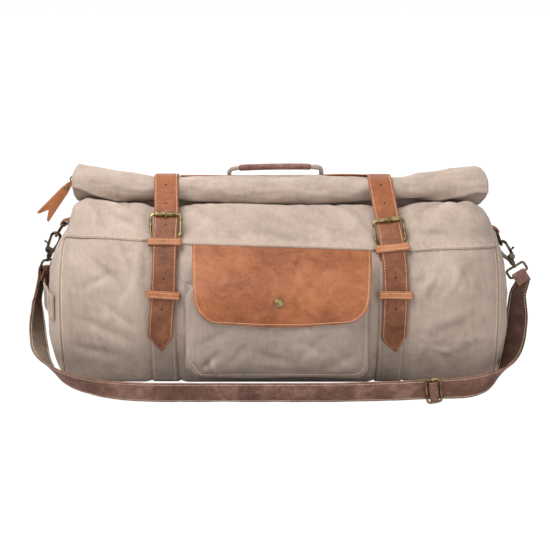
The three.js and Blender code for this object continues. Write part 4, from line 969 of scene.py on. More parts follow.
roll_outer = roll_layer(0.0)
stretched = roll_outer * np.array([0.34, 1.0, 1.0])
roll_push = soft_noise(stretched, 15, 6.0) * 1.5 + soft_noise(stretched, 6, 8.0) * 0.45
roll_push = roll_push * (1 - 0.8 * near_straps(grid_x, 17))
beside_strap = bump_at(np.abs(from_middle - BAND_X), BESIDE_STRAP["off"], BESIDE_STRAP["reach"])
roll_push += BESIDE_STRAP["height"] * beside_strap * np.sin(3.4 * grid_angle + 0.05 * grid_x)
fold_turn = LIFTED_FOLD["low"] + fade(from_middle, *LIFTED_FOLD["ends"]) * (
    LIFTED_FOLD["high"] - LIFTED_FOLD["low"]
)
below_fold = (grid_angle - np.radians(fold_turn)) * half_height
step_in = np.clip((below_fold + 1.0) / 2.4, 0, 1) * np.clip(1.35 - below_fold / 40, 0, 1)
fold_start = LIFTED_FOLD["ends"][0]
on_fold = fade(from_middle, fold_start, fold_start + 14) * (grid_angle < math.radians(LIFTED_FOLD["last"]))
roll_push += on_fold * (bump_at(below_fold, -3.5, 3.5) - LIFTED_FOLD["depth"] * step_in)
roll_push *= np.clip(turned / 40, 0.2, 1) * np.clip((420 - turned) / 60, 0.15, 1)
end_bottom = np.where(grid_x < 0, ROUND_END["bottom_left"], ROUND_END["bottom_right"])
up_or_down = roll_out[..., 2]
drawn_in = np.where(up_or_down > 0, ROUND_END["top"] * up_or_down ** 4, end_bottom * up_or_down ** 2)
roll_inner = roll_layer(ROLL["cloth"])
for layer in (roll_outer, roll_inner):
    layer += roll_out * roll_push[..., None]
    layer[..., 0] -= np.sign(grid_x) * fade(from_middle, *ROUND_END["ends"]) ** 2 * drawn_in

# %% The neck: two plies that part at their foot and go down into the mouth
NECK = {"half": 223, "fades": 8, "fork": 213.5, "foot": 203, "leg": 1.1, "gap": 0.35}
neck_share = fade(np.abs(ROLL_X), NECK["half"], NECK["half"] - NECK["fades"])
inner_foot, outer_foot = roll_inner[:, 0], roll_outer[:, 0]


def neck_line(y, z, plain_y, plain_z):
    """A line of points along the neck, which shrinks away past its ends."""
    neck = np.stack(np.broadcast_arrays(ROLL_X, y, z), axis=-1)
    plain = np.stack([inner_foot[:, 0], plain_y, plain_z], axis=-1)
    return (plain + neck_share[:, None] * (neck - plain))[:, None]


front_leg, back_leg = MOUTH["front"] + NECK["gap"], MOUTH["back"] - NECK["gap"]
front_y, front_z = inner_foot[:, 1], inner_foot[:, 2] - 0.6
back_y, back_z = outer_foot[:, 1], outer_foot[:, 2] - 0.6
legs = [
    neck_line(front_leg, NECK["fork"], front_y, front_z),
    neck_line(front_leg, NECK["foot"], front_y, front_z - 0.3),
    neck_line(front_leg + NECK["leg"], NECK["foot"], front_y + 0.3, front_z - 0.3),
    neck_line((front_leg + back_leg) / 2, NECK["fork"], (front_y + back_y) / 2, front_z - 0.1),
    neck_line(back_leg - NECK["leg"], NECK["foot"], back_y - 0.3, back_z - 0.3),
    neck_line(back_leg, NECK["foot"], back_y, back_z - 0.3),
    neck_line(back_leg, NECK["fork"], back_y, back_z),
]
roll_section = np.concatenate([roll_inner[:, ::-1], *legs, roll_outer], axis=1)
roll_count = roll_section.shape[1]
MM_PER_DEGREE = 0.42
section_run = np.concatenate([turned[::-1], np.zeros(len(legs)), turned]) * MM_PER_DEGREE
roll_map = np.stack([roll_section[..., 0], np.broadcast_to(section_run, roll_section.shape[:2])], axis=-1)
roll_faces = grid_faces(len(ROLL_X), roll_count, closed=True)
outer_start = ROLL_STEPS + len(legs)
for row in (0, len(ROLL_X) - 1):
    index = np.arange(roll_count) + row * roll_count
    inner, outer = index[:ROLL_STEPS][::-1], index[outer_start:]
    caps = np.stack([inner[:-1], outer[:-1], outer[1:], inner[1:]], axis=1)
    foot = index[ROLL_STEPS - 1:outer_start + 1][::-1]
    turn_over = slice(None, None, -1 if row else 1)
    roll_faces += [*caps[:, turn_over].tolist(), foot[turn_over].tolist()]
roll_top = shell("roll_cloth", roll_section, roll_faces, CANVAS, roll_map)
unfolded = np.zeros((len(ROLL_X), outer_start))
# Fold mask of the roll: lighter along the lifted fold, and painted shade on the stepped-in under layer at
# each end.
set_mask(roll_top, "fold", np.clip(np.concatenate([unfolded, roll_push * 0.07], axis=1), -0.3, 0.2))
place_on(roll_top, ["roll_top"])
print("roll:", len(roll_top.data.polygons), "faces")

# %% [markdown]
# ## Buckle straps
# Each strap is sewn on at the back, runs taut over the roll and comes down the front to a pointed tip. A
# taut strap takes the shortest way round what it crosses, which is the convex hull of the body's outline
# and the roll's. That rule gives the path; a strip of leather with rounded edges and a shallow stitch
# groove is then swept along it.

# %% Sweeping a strip of leather
GAP = 0.35
LEATHER_THICK = 2.4
EDGE_WEAR = 2.2


def strip_section(width, thick, groove):
    """Rows (across, out, edge mask) all the way round the section of a strip."""
    half = width / 2
    inset = min(groove, 0.3 * half)
    top = [
        (-half + 0.5, 0.42), (-half + 1.2, 0.5), (-half + inset - 0.9, 0.5), (-half + inset, 0.36),
        (-half + inset + 1.0, 0.5), (-0.4 * half, 0.52), (0.0, 0.53),
    ]
    top = top + [(-a, n) for a, n in top[-2::-1]]
    ring = [
        (-half, 0.12), *top, (half, 0.12), (half, -0.12), *[(a, -n) for a, n in top[::-1]], (-half, -0.12),
    ]
    return np.array([(a, n * thick, max(0.0, 1 - (half - abs(a)) / EDGE_WEAR)) for a, n in ring])


def strip_frame(path, across):
    """Directions across a path and out from it."""
    forward = unit(np.gradient(path, axis=0))
    across = np.broadcast_to(np.asarray(across, dtype=float), path.shape)
    across = unit(across - np.sum(across * forward, axis=1, keepdims=True) * forward)
    return across, np.cross(forward, across)


def section_rows(section, run):
    """Cloth map and edge mask of a section swept over a run."""
    rows = [
        np.broadcast_to(part, (len(run), len(section)))
        for part in (section[:, 0], run[:, None], section[:, 2])
    ]
    return np.stack(rows[:2], axis=-1), rows[2].copy()


def strip(
    name, path, across, width, thick, finish, widths=None, groove=2.2, ripple=0.25, seed=0.0, second=None,
):
    """A strip swept along a path; second is the finish of the side that faces out."""
    path = np.asarray(path, dtype=float)
    across, out = strip_frame(path, across)
    section = strip_section(width, thick, groove)
    share = np.ones(len(path)) if widths is None else np.asarray(widths) / width
    waver = soft_noise(path, 26, seed, 2) * ripple
    points = (
        path[:, None]
        + across[:, None] * (section[None, :, 0:1] * share.reshape(-1, 1, 1))
        + out[:, None] * (section[None, :, 1:2] + waver[:, None, None])
    )
    cloth, edge = section_rows(section, along_path(path))
    edge[[0, -1]] = 1.0
    size = (len(path), len(section))
    made = shell(name, points, grid_faces(*size, closed=True) + end_faces(*size), finish, cloth, edge)
    if second:
        made.data.materials.append(second)
        on_side = section[:, 1] + np.roll(section[:, 1], -1) > 0.4 * thick
        which = np.append(np.tile(on_side, len(path) - 1), [0, 0]).astype(np.int32)
        made.data.polygons.foreach_set("material_index", which)
    return made


def mask_along(made, name, path, values):
    """Keeps one number for each place along a strip."""
    set_mask(made, name, np.repeat(values, len(made.data.vertices) // len(path)))


def beside(path, across, offset, lift):
    """A line on a strip: so far across from its middle and lifted off its face."""
    path = np.asarray(path, dtype=float)
    across, out = strip_frame(path, across)
    return path + across * np.asarray(offset).reshape(-1, 1) + out * lift


# %% The taut path of a strap
BAND = {"thick": 1.5, "width": 32, "top": 174, "stitches": 12.6, "clear": 3}
ON_BAND = GAP + BAND["thick"]
KEEPER = {"width": 41, "height": 9.5, "thick": 1.6, "slack": 0.5, "corner": 1.9, "stitches": 2.4}
CHAPE = {"thick": 1.6, "width": 31, "loop": 24, "end": 163}
BUCKLE = {"width": 40, "length": 31, "wire": 1.9, "corner": 4.5}
STRAP = {"width": 29.5, "back_end": 150, "stitches": 2.2}
ON_BODY = ON_BAND + GAP + LEATHER_THICK / 2
OVER_KEEPER = ON_BAND + 2 * GAP + KEEPER["slack"] + KEEPER["thick"] + LEATHER_THICK / 2
STAND_OFF = np.array([
    # height, how far the middle of the strap stands off the body in front
    (60, ON_BODY), (110, OVER_KEEPER), (150, OVER_KEEPER),
    (172, OVER_KEEPER + GAP + CHAPE["thick"]), (186, 11.2), (215, 11.2),
])
TIP_ROWS = np.array([(0, 0.06), (8, 0.48), (17, 0.93), (20, 1.0)])
STRAPS = [
    {"side": "left", "band": -BAND_X, "buckle": 204.5, "upper": 186, "lower": 126, "tip": 55,
     "lean": [
         (55, -139.3), (75, -140.6), (93, -139.6), (128, -136), (218, -134.6), (240, -136.5), (253, -137.2),
     ],
     "back": [(150, -138), (253, -137.2)]},
    {"side": "right", "band": BAND_X, "buckle": 198.5, "upper": 179.5, "lower": 126, "tip": 54,
     "lean": [(54, 143.8), (75, 140.9), (100, 141.5), (128, 142.5), (160, 141.5), (190, 137.5), (218, 132.5),
              (253, 126.7)],
     "back": [(150, 137), (253, 126.7)]},
]


def outline_off(line, offset):
    """A closed outline (y, z) moved out by an offset at each point."""
    forward = unit(np.roll(line, -1, axis=0) - np.roll(line, 1, axis=0))
    return line + np.stack([forward[:, 1], -forward[:, 0]], axis=1) * np.asarray(offset).reshape(-1, 1)


def tight_loop(points):
    """The tightest loop round points (y, z), counterclockwise."""
    ordered = sorted(map(tuple, points))

    def chain(run):
        kept = []
        for p in run:
            while len(kept) > 1:
                (ay, az), (by, bz) = kept[-2], kept[-1]
                if (by - ay) * (p[1] - az) - (bz - az) * (p[0] - ay) > 0:
                    break
                kept.pop()
            kept.append(p)
        return kept[:-1]

    return np.array(chain(ordered) + chain(ordered[::-1]))


def strap_path(row):
    """The middle line of a strap, from its back end over the roll to its tip."""
    body = body_section(row["band"], ROUND_THE_BODY[:-1:6])
    offset = np.where(body[:, 0] > 0, ON_BODY, np.interp(body[:, 1], *STAND_OFF.T))
    height, depth, tall = roll_sizes(row["lean"][-1][1])
    ring = np.linspace(0, 2 * math.pi, 72, endpoint=False)
    off = GAP + LEATHER_THICK / 2
    roll = np.stack([ROLL_Y + (depth + off) * np.cos(ring), height + (tall + off) * np.sin(ring)], axis=1)
    loop = tight_loop(np.vstack([outline_off(body, offset), roll]))
    loop = np.roll(loop, -int(np.argmin(loop[:, 1])), axis=0)
    loop = even_path(np.vstack([loop, loop[:1]]), 1.0)
    on_back = np.arange(len(loop)) < np.argmax(loop[:, 1])
    kept = np.nonzero(loop[:, 1] > np.where(on_back, STRAP["back_end"], row["tip"]))[0]
    loop = loop[kept[0]:kept[-1] + 1]
    back, lean = [np.interp(loop[:, 1], *np.array(row[key]).T) for key in ("back", "lean")]
    x = np.where(np.arange(len(loop)) < np.argmax(loop[:, 1]), back, lean)
    return even_path(rounded(np.column_stack([x, loop]), 6), 2.0)


def front_place(path, height):
    """The place where the front of a strap passes a height."""
    front = path[np.argmax(path[:, 2]):]
    return read_rows(-height, -front[:, 2], front)


def front_frame(path, height, span):
    """Middle and directions (across, down, out) of something that spans a stretch of a strap."""
    slope = unit(front_place(path, height - 1) - front_place(path, height + 1))
    reach = -slope[2] * span / 2
    upper, lower = front_place(path, height + reach), front_place(path, height - reach)
    down = unit(lower - upper)
    across = unit(X_AXIS - down[0] * down)
    return {"at": (upper + lower) / 2, "across": across, "down": down, "out": -np.cross(across, down)}


def in_frame(place, across, down, out):
    """A place in such a frame."""
    return place["at"] + place["across"] * across + place["down"] * down + place["out"] * out


# %% Bands, straps and keepers
stitch_lines = {"peach": [], "cream": []}
hole_lines = []
strap_frames = {}


def loop_outline(width, height, corner, steps=6):
    """A rounded rectangle as a closed line of pairs."""
    made = []
    for sx, sy, start in ((1, 1, 0), (-1, 1, 90), (-1, -1, 180), (1, -1, 270)):
        for angle in np.radians(start + 90 * np.arange(steps + 1) / steps):
            across = sx * (width / 2 - corner) + corner * math.cos(angle)
            made.append((across, sy * (height / 2 - corner) + corner * math.sin(angle)))
    return np.array(made)


def ring_strip(name, loop, across, width, thick, finish):
    """A closed leather loop: a strip whose path comes back to its start."""
    spacing = 1.2
    loop = even_loop(loop, spacing)
    forward = unit(np.roll(loop, -1, axis=0) - np.roll(loop, 1, axis=0))
    across = unit(across)
    out = np.cross(forward, np.broadcast_to(across, loop.shape))
    section = strip_section(width, thick, 2.0)
    points = loop[:, None] + across * section[None, :, 0:1] + out[:, None] * section[None, :, 1:2]
    size = (len(loop), len(section))
    faces = grid_faces(*size, closed=True) + meeting_faces(*size)
    return shell(name, points, faces, finish, *section_rows(section, np.arange(len(loop)) * spacing))


def keeper(name, place):
    """A leather loop round the strap, with two rows of stitches on its face."""
    room = LEATHER_THICK + 2 * GAP + 2 * KEEPER["slack"]
    flat = loop_outline(KEEPER["width"] - KEEPER["thick"], room + KEEPER["thick"], KEEPER["corner"])
    loop = np.array([in_frame(place, a, 0, o) for a, o in flat])
    made = ring_strip(name, loop, place["down"], KEEPER["height"], KEEPER["thick"], LEATHER_PALE)
    face = room / 2 + KEEPER["thick"] + 0.05
    reach = KEEPER["width"] / 2 - 3
    for row in (-KEEPER["stitches"], KEEPER["stitches"]):
        sewn = [in_frame(place, a, row, face) for a in np.linspace(-reach, reach, 30)]
        stitch_lines["peach"].append(np.array(sewn))
    place_on(made, [name.replace("_leather", "")])


def band(side, x):
    """The canvas band that runs round under the bag, with its rows of stitches."""
    line = outline_off(body_section(x, ROUND_THE_BODY)[:-1], GAP + BAND["thick"] / 2)
    low = np.nonzero(line[:, 1] < BAND["top"])[0]
    line = line[np.roll(low, -1 - np.argmax(np.diff(low)))]
    path = even_path(packed(np.column_stack([np.full(len(line), x), line])), 3.0)
    made = strip(
        f"band_cloth_{side}", path, X_AXIS, BAND["width"], BAND["thick"], CANVAS_DARK, groove=3.0,
        ripple=0.0,
    )
    mask_along(made, "fold", path, np.zeros(len(path)))
    place_on(made, [f"band_{side}"])
    for offset in (-BAND["stitches"], BAND["stitches"]):
        sewn = beside(path, X_AXIS, offset, BAND["thick"] / 2)
        sewn = sewn[sewn[:, 2] > BAND["clear"]]
        stitch_lines["cream"] += [sewn[sewn[:, 1] < 0], sewn[sewn[:, 1] > 0]]


def strap(side, row, path):
    """A buckle strap, with its stitches and the line that its holes lie on."""
    to_tip = along_path(path)[-1] - along_path(path)
    widths = STRAP["width"] * np.interp(to_tip, *TIP_ROWS.T)
    made = strip(
        f"strap_leather_{side}", path, X_AXIS, STRAP["width"], LEATHER_THICK, LEATHER_BROWN, widths,
        seed=row["band"], ripple=0.2,
    )
    mask_along(made, "tone", path, fade(path[:, 2], row["buckle"] + 6, row["buckle"] + 20))
    place_on(made, [f"buckle_strap_{side}"])
    inner = np.maximum(widths / 2 - STRAP["stitches"], 0.0)
    sides = [beside(path, X_AXIS, sign * inner, LEATHER_THICK * 0.42)[inner > 0.8] for sign in (1, -1)]
    stitch_lines["peach"].append(np.vstack([sides[0], sides[1][::-1]]))
    hole_lines.append(beside(path, X_AXIS, np.zeros(len(path)), LEATHER_THICK * 0.53))


for row in STRAPS:
    side = row["side"]
    path = strap_path(row)
    band(side, row["band"])
    strap(side, row, path)
    frames = {level: front_frame(path, row[level], KEEPER["height"]) for level in ("upper", "lower")}
    for level, place in frames.items():
        keeper(f"keeper_{level}_{side}_leather", place)
    buckle_place = front_frame(path, row["buckle"], BUCKLE["length"])
    strap_frames[side] = {"path": path, "band": row["band"], "buckle": buckle_place, "upper": frames["upper"]}
print("straps:", [length_of(made["path"]) for made in strap_frames.values()], "mm long")

# %% [markdown]
# ## Buckles
# A roller buckle is a bent wire frame that leans through the strap: its upper bar lies in front of the
# leather, its heel bar behind it, inside the folded chape. The prong turns on the heel bar, comes up
# through a slot and rests on the roller. Round wire swept along each path keeps the metal smooth where the
# frame's solids are faceted.

# %% Round wire and turned metal
DOME = np.radians([80, 60, 35, 15])


def circle(centre, u, v, radius, count=36):
    """Points round a circle in the plane of two directions."""
    angles = np.linspace(0, 2 * math.pi, count, endpoint=False)[:, None]
    return centre + radius * (u * np.cos(angles) + v * np.sin(angles))


def domed(path, radius):
    """The path and radius of an open wire, with a dome added at each end."""
    first, last = unit(path[0] - path[1]), unit(path[-1] - path[-2])
    rise, share = np.sin(DOME)[:, None], np.cos(DOME)
    path = np.vstack([path[0] + first * radius[0] * rise, path, path[-1] + last * radius[-1] * rise[::-1]])
    return path, np.concatenate([radius[0] * share, radius, radius[-1] * share[::-1]])


def wire(name, path, radius, finish, closed=False, sides=14):
    """Round wire along a path, with domed ends; the radius may change along it."""
    path = np.asarray(path, dtype=float)
    radius = np.broadcast_to(np.asarray(radius, dtype=float), (len(path),))
    if closed:
        forward = unit(np.roll(path, -1, axis=0) - np.roll(path, 1, axis=0))
    else:
        path, radius = domed(path, radius)
        forward = unit(np.gradient(path, axis=0))
    aside = np.array([0.3, 0.5, 0.81])
    aside = aside if abs(forward[0] @ aside) < 0.9 else X_AXIS
    sideways = [unit(np.cross(forward[0], aside))]
    for f in forward[1:]:
        previous = sideways[-1]
        sideways.append(unit(previous - (previous @ f) * f))
    sideways = np.array(sideways)
    if closed:
        meet = sideways[-1] - (sideways[-1] @ forward[0]) * forward[0]
        twist = math.atan2(np.cross(sideways[0], meet) @ forward[0], sideways[0] @ meet)
        turn = -twist * np.arange(len(path))[:, None] / len(path)
        sideways = sideways * np.cos(turn) + np.cross(forward, sideways) * np.sin(turn)
    upward = np.cross(forward, sideways)
    points = np.array([circle(*row, sides) for row in zip(path, sideways, upward, radius)])
    size = (len(path), sides)
    faces = grid_faces(*size, closed=True) + (meeting_faces(*size) if closed else end_faces(*size))
    return shell(name, points, faces, finish)


def turned_metal(name, profile, foot, axis, finish, sides):
    """A turned shape from rows of (height, radius), standing on a foot along an axis."""
    u = unit(np.cross(axis, Z_AXIS))
    v = np.cross(axis, u)
    points = np.array([circle(foot + axis * height, u, v, radius, sides) for height, radius in profile])
    size = (len(profile), sides)
    return shell(name, points, grid_faces(*size, closed=True) + end_faces(*size), finish)


def joined(name, parts):
    """Several meshes as one piece."""
    bpy.ops.object.select_all(action="DESELECT")
    for part in parts:
        part.select_set(True)
    bpy.context.view_layer.objects.active = parts[0]
    bpy.ops.object.join()
    parts[0].name = name
    parts[0].data.name = name
    return parts[0]


# %% Buckles and chapes
PRONG = {"wire": 1.25, "past": 2.2, "eye": 3.1, "arm": (1.35, 1.1), "eye_wire": 1.0, "eye_gap": 1.1}
ROLLER = {"radius": 2.75, "half": 12.5, "off": 0.15}
CHAPE_STITCHES = 2.4
BAR_FRONT = LEATHER_THICK / 2 + GAP + BUCKLE["wire"]
BAR_BACK = LEATHER_THICK / 2 + 2 * GAP + CHAPE["thick"] + BUCKLE["wire"]
BUCKLE_REACH = (BUCKLE["length"] - 2 * BUCKLE["wire"]) / 2
BUCKLE_RISE, BUCKLE_LEVEL = (BAR_FRONT + BAR_BACK) / 2, (BAR_FRONT - BAR_BACK) / 2
BUCKLE_SLANT = math.sqrt(1 - (BUCKLE_RISE / BUCKLE_REACH) ** 2)
HEEL = BUCKLE_REACH * BUCKLE_SLANT


def buckle(side, place):
    """Frame and roller, and the prong with its eye on the heel bar."""
    flat = loop_outline(BUCKLE["width"] - 2 * BUCKLE["wire"], 2 * BUCKLE_REACH, BUCKLE["corner"], 8)
    outline = np.array([
        in_frame(place, a, d * BUCKLE_SLANT, BUCKLE_LEVEL - d / BUCKLE_REACH * BUCKLE_RISE) for a, d in flat
    ])
    bow = wire(f"buckle_wire_{side}", even_loop(outline), BUCKLE["wire"], BRASS, closed=True)
    along_bar = np.linspace(-ROLLER["half"], ROLLER["half"], 9)
    roller_line = [in_frame(place, a, -HEEL, BAR_FRONT + ROLLER["off"]) for a in along_bar]
    roller = wire(f"buckle_roller_{side}", roller_line, ROLLER["radius"], BRASS)
    place_on(joined(f"buckle_brass_{side}", [bow, roller]), [f"buckle_frame_{side}"])

    tip_out = BAR_FRONT + ROLLER["radius"] + PRONG["wire"] + 0.2
    behind = -LEATHER_THICK / 2 - PRONG["wire"] - 0.3
    arm_rows = [
        # down the strap, out from it
        (HEEL, -BAR_BACK + PRONG["eye"] - PRONG["wire"]), (HEEL * 0.3, behind), (-HEEL * 0.45, behind + 0.4),
        (-HEEL * 0.72, BAR_FRONT), (-HEEL, tip_out), (-HEEL - PRONG["past"], tip_out - 0.6),
    ]
    arm_line = smooth_curve([in_frame(place, 0, d, o) for d, o in arm_rows], 0.9)
    arm = wire(f"prong_arm_{side}", arm_line, np.linspace(*PRONG["arm"], len(arm_line)), BRASS)
    heel_bar = in_frame(place, 0, HEEL, -BAR_BACK)
    eye_ring = circle(heel_bar, place["out"], place["down"], BUCKLE["wire"] + PRONG["eye_gap"], 24)
    eye = wire(f"prong_eye_{side}", eye_ring, PRONG["eye_wire"], BRASS, closed=True)
    place_on(joined(f"prong_brass_{side}", [arm, eye]), [f"buckle_prong_{side}"])


def chape(side, made):
    """The leather that holds the buckle: sewn to the band, under the keeper and round the heel bar."""
    turn = BUCKLE["wire"] + GAP + CHAPE["thick"] / 2
    curl = [
        in_frame(made["buckle"], 0, HEEL - turn * math.sin(a), -BAR_BACK + turn * math.cos(a))
        for a in np.radians(np.linspace(-45, 180, 16))
    ]
    front = outline_off(body_section(made["band"], ROUND_THE_BODY)[:-1], ON_BAND + GAP + CHAPE["thick"] / 2)
    front = front[(front[:, 0] < 0) & (front[:, 1] > CHAPE["end"])][::-1]
    room = -LEATHER_THICK / 2 - 2 * GAP - KEEPER["slack"] - KEEPER["thick"] - CHAPE["thick"] / 2
    half_keeper = KEEPER["height"] / 2
    kneel = [in_frame(made["upper"], 0, d, room) for d in (half_keeper + 1, 0, -half_keeper - 0.3)]
    sewn = np.column_stack([np.full(len(front), curl[0][0]), front])
    sewn = sewn[sewn[:, 2] < kneel[0][2] - 2]
    path = rounded(even_path(np.vstack([sewn, kneel, curl]), 1.5), 2)
    run = along_path(path)
    loop_start = run[-1] - math.pi * turn - 6
    wide = CHAPE["width"]
    widths = np.interp(run, [0, 2, 6, loop_start - 4, loop_start], [20, 27, wide, wide, CHAPE["loop"]])
    leather_piece = strip(
        f"chape_leather_{side}", path, X_AXIS, wide, CHAPE["thick"], LEATHER_BROWN, widths, groove=2.4,
        ripple=0.0,
    )
    place_on(leather_piece, [f"chape_{side}"])
    flat_part = (run < loop_start) & (run > 4)
    for sign in (-1, 1):
        line = beside(path, X_AXIS, sign * (widths / 2 - CHAPE_STITCHES), -CHAPE["thick"] * 0.5)
        stitch_lines["peach"].append(line[flat_part])


for side, made in strap_frames.items():
    buckle(side, made["buckle"])
    chape(side, made)

# %% [markdown]
# ## Front pocket and flap
# The pocket is a bellows pocket: a front panel with round lower corners, joined to the bag by a gusset that
# folds in on itself. Rings from the bag outward, each a rounded rectangle, follow that fold: in, out over
# the stitched rim, and then over the crowned front. The leather flap is sewn in under the yoke seam and
# lies over it, curling a little at its round corners.

# %% Pocket
POCKET = {"top": 140, "corner": 14, "around": 300, "rings": 76, "front": -136.2, "rim": -134.6, "wall": 1.3}
POCKET_RINGS = np.array([
    # y, half width, bottom, top of each ring
    (-88, 111, 24.5, 170), (-104, 111.5, 24.2, 166), (-116, 111.5, 24.2, 156), (-122, 110.5, 25, 151.5),
    (-126, 107, 26.5, 147), (-128.5, 105, 27.5, 145.5), (-131, 105.6, 27.4, 142), (-133.2, 108, 27.2, 139),
    (-134.6, 109.2, 27, 137.5), (-136, 108.6, 27.8, 136), (-136.9, 106.6, 30, 134),
    (-138.6, 103.6, 33.5, 130),
    (-141, 100, 38, 124), (-143.8, 93, 46, 114), (-145.8, 84, 55, 104), (-147, 66, 66, 96),
    (-147.6, 40, 76, 88),
])
POCKET_CREASES = [
    # side, x and z of both ends, half width, depth
    (-1, -92, 38, -70, 62, 4, 2.2), (-1, -60, 44, -34, 74, 5, 1.3), (-1, -40, 66, 24, 46, 6, 1.2),
    (-1, 10, 84, 66, 58, 6, 1.0), (-1, 48, 36, 94, 60, 6, 1.4), (-1, -88, 72, -56, 92, 5, 1.2),
    (-1, 70, 74, 92, 40, 5, 1.0), (-1, -20, 40, 40, 34, 5, 1.0), (-1, -78, 30, -86, 54, 3, 2.0),
    (-1, 20, 48, 56, 84, 4, 0.8),
]
CORNER_TUCK = {"x": -103, "z": 37, "reach": 10.0, "depth": 5.0, "rise": 2.5}
RIM_STITCH = {"ring": -137.6, "turn_round": 90, "below": 132, "out": 0.5}
ring_order = np.arange(len(POCKET_RINGS))
pocket_rows = rounded(read_rows(np.linspace(0, ring_order[-1], POCKET["rings"]), ring_order, POCKET_RINGS), 1)


def pocket_ring(y, half, low, high):
    """One rounded rectangle of the pocket, as points (x, y, z)."""
    corner = min(POCKET["corner"], 0.45 * (high - low), 0.45 * half)
    flat = loop_outline(2 * half, high - low, corner, 12)
    flat = spread(np.vstack([flat, flat[:1]]), POCKET["around"] + 1)[:-1]
    return np.column_stack([flat[:, 0], np.full(len(flat), y), (low + high) / 2 + flat[:, 1]])


def inside_body(points, depth):
    """True where a point on the front lies deeper than this inside the body."""
    section = body_section(0.0, ROUND_THE_BODY)
    front = section[(section[:, 0] < 0) & (section[:, 1] > 0.1)]
    y, z = front[np.argsort(front[:, 1])].T
    return points[:, 1] > np.interp(points[:, 2], z, y) + depth


pocket_grid = np.array([pocket_ring(*row) for row in pocket_rows])
pocket_x, pocket_y, pocket_z = np.moveaxis(pocket_grid, -1, 0)
on_front = fade(pocket_y, POCKET["front"], POCKET["front"] - 4)
rim_row = bump_at(pocket_y, POCKET["rim"], 1.6)
gusset_fold = fade(pocket_y, -131, -125) * fade(pocket_y, -112, -120)
pocket_push = crease_depth(pocket_x, pocket_z, -np.ones_like(pocket_x), POCKET_CREASES)
pocket_push += soft_noise(pocket_grid, 26, 11.0) * 0.9 + soft_noise(pocket_grid, 80, 12.0, 2) * 1.3
side_wave = 1.4 * np.sin(pocket_z / 13.0 + 0.6 * np.sin(pocket_z / 29.0)) + 0.8 * np.sin(pocket_z / 5.6)
from_tuck = np.hypot(pocket_x - CORNER_TUCK["x"], pocket_z - CORNER_TUCK["z"])
tuck = bump_at(from_tuck, 0, CORNER_TUCK["reach"]) * fade(pocket_y, -128, -134)
pocket_points = pocket_grid.copy()
pocket_points[..., 0] += np.sign(pocket_x) * side_wave * gusset_fold * (np.abs(pocket_x) > 60)
pocket_points[..., 0] += CORNER_TUCK["depth"] * tuck
pocket_points[..., 1] -= pocket_push * on_front
rim_wave = 0.9 * np.sin(pocket_x / 21.0) * rim_row * (pocket_z < 40)
pocket_points[..., 2] += CORNER_TUCK["rise"] * tuck + rim_wave

pocket_size = (len(pocket_rows), POCKET["around"])
pocket_all = grid_faces(*pocket_size, closed=True) + end_faces(*pocket_size)[1:]
flat_points = pocket_points.reshape(-1, 3)
face_middle = np.array([flat_points[face].mean(axis=0) for face in pocket_all])
kept = (face_middle[:, 2] < POCKET["top"]) & ~inside_body(face_middle, 4.0)
pocket_faces = [face for face, keep in zip(pocket_all, kept) if keep]
used = np.unique(np.concatenate(pocket_faces))
pocket_faces = [np.searchsorted(used, face).tolist() for face in pocket_faces]
pocket_map = np.stack([pocket_x + 0.5 * pocket_y, np.where(on_front > 0.5, pocket_z, -pocket_y)], axis=-1)
# The pocket's fold mask: its creases, painted shade in the gusset folds, and the raised rim made lighter.
pocket_fold = pocket_push * on_front * 0.08 - 0.10 * gusset_fold + 0.10 * rim_row
pocket = cloth_piece(
    "pocket_cloth", flat_points[used], pocket_map.reshape(-1, 2)[used], pocket_fold.ravel()[used],
    pocket_faces,
    POCKET["wall"], CANVAS_POCKET_SHADED,
)
place_on(pocket, ["pocket"])
rim_line = pocket_points[np.argmin(np.abs(pocket_rows[:, 0] - RIM_STITCH["ring"]))]
rim_line = rim_line[np.argsort(np.arctan2(rim_line[:, 0], RIM_STITCH["turn_round"] - rim_line[:, 2]))]
stitch_lines["cream"].append(rim_line[rim_line[:, 2] < RIM_STITCH["below"]] - Y_AXIS * RIM_STITCH["out"])
print("pocket:", len(pocket.data.polygons), "faces")

# %% Flap
FLAP = {
    "x": 5.5, "half": 108, "corner": 30, "thick": 2.4, "across": 110, "taper": 6.5, "bow": 4.5, "edge": 3.0,
}
FLAP_ROWS = [
    # y, z down the middle of the flap
    (-101, 176.2), (-107.6, 167), (-118, 158), (-129, 148.5), (-138, 137), (-144.5, 124), (-148.5, 110),
    (-149.6, 102.5), (-150.2, 94),
]
FLAP_STITCH = {"inset": 2.6, "groove": 3.4, "deep": 0.35, "across": 70}
flap_line = smooth_curve([(FLAP["x"], *row) for row in FLAP_ROWS], 1.6)
flap_run = along_path(flap_line)
flap_long = flap_run[-1]
left_below = np.maximum(flap_long - flap_run, 0.02)
drop = np.clip(FLAP["corner"] - left_below, 0, FLAP["corner"])
flap_half = FLAP["half"] - FLAP["corner"] + np.sqrt(FLAP["corner"] ** 2 - drop ** 2)
flap_half = flap_half - FLAP["taper"] * (flap_run / flap_long) ** 1.5
flap_down = unit(np.gradient(flap_line, axis=0))
flap_out = np.cross(flap_down, X_AXIS)


def flap_point(share, run):
    """A place on the flap's middle surface: share of the half width at a distance down it."""
    base, down, out = [read_rows(run, flap_run, table) for table in (flap_line, flap_down, flap_out)]
    base = base + X_AXIS * (share * np.interp(run, flap_run, flap_half))[..., None]
    x, far = base[..., 0], run / flap_long
    slip = (3.25 - 0.039 * (x - FLAP["x"])) * (1 - far) + FLAP["bow"] * share ** 2 * far ** 3
    base = base - down * slip[..., None]
    low = fade(run, 40, 95)
    side_drop = -1.6 * np.abs(share) ** 6 * (1 - low)
    curl = 2.2 * np.abs(share) ** 5 * low ** 2
    wave = 0.7 * np.sin(x / 23.0 + 0.8) * low + 0.5 * np.sin(x / 41.0 - run / 30)
    return base + out * (side_drop + curl + wave)[..., None]


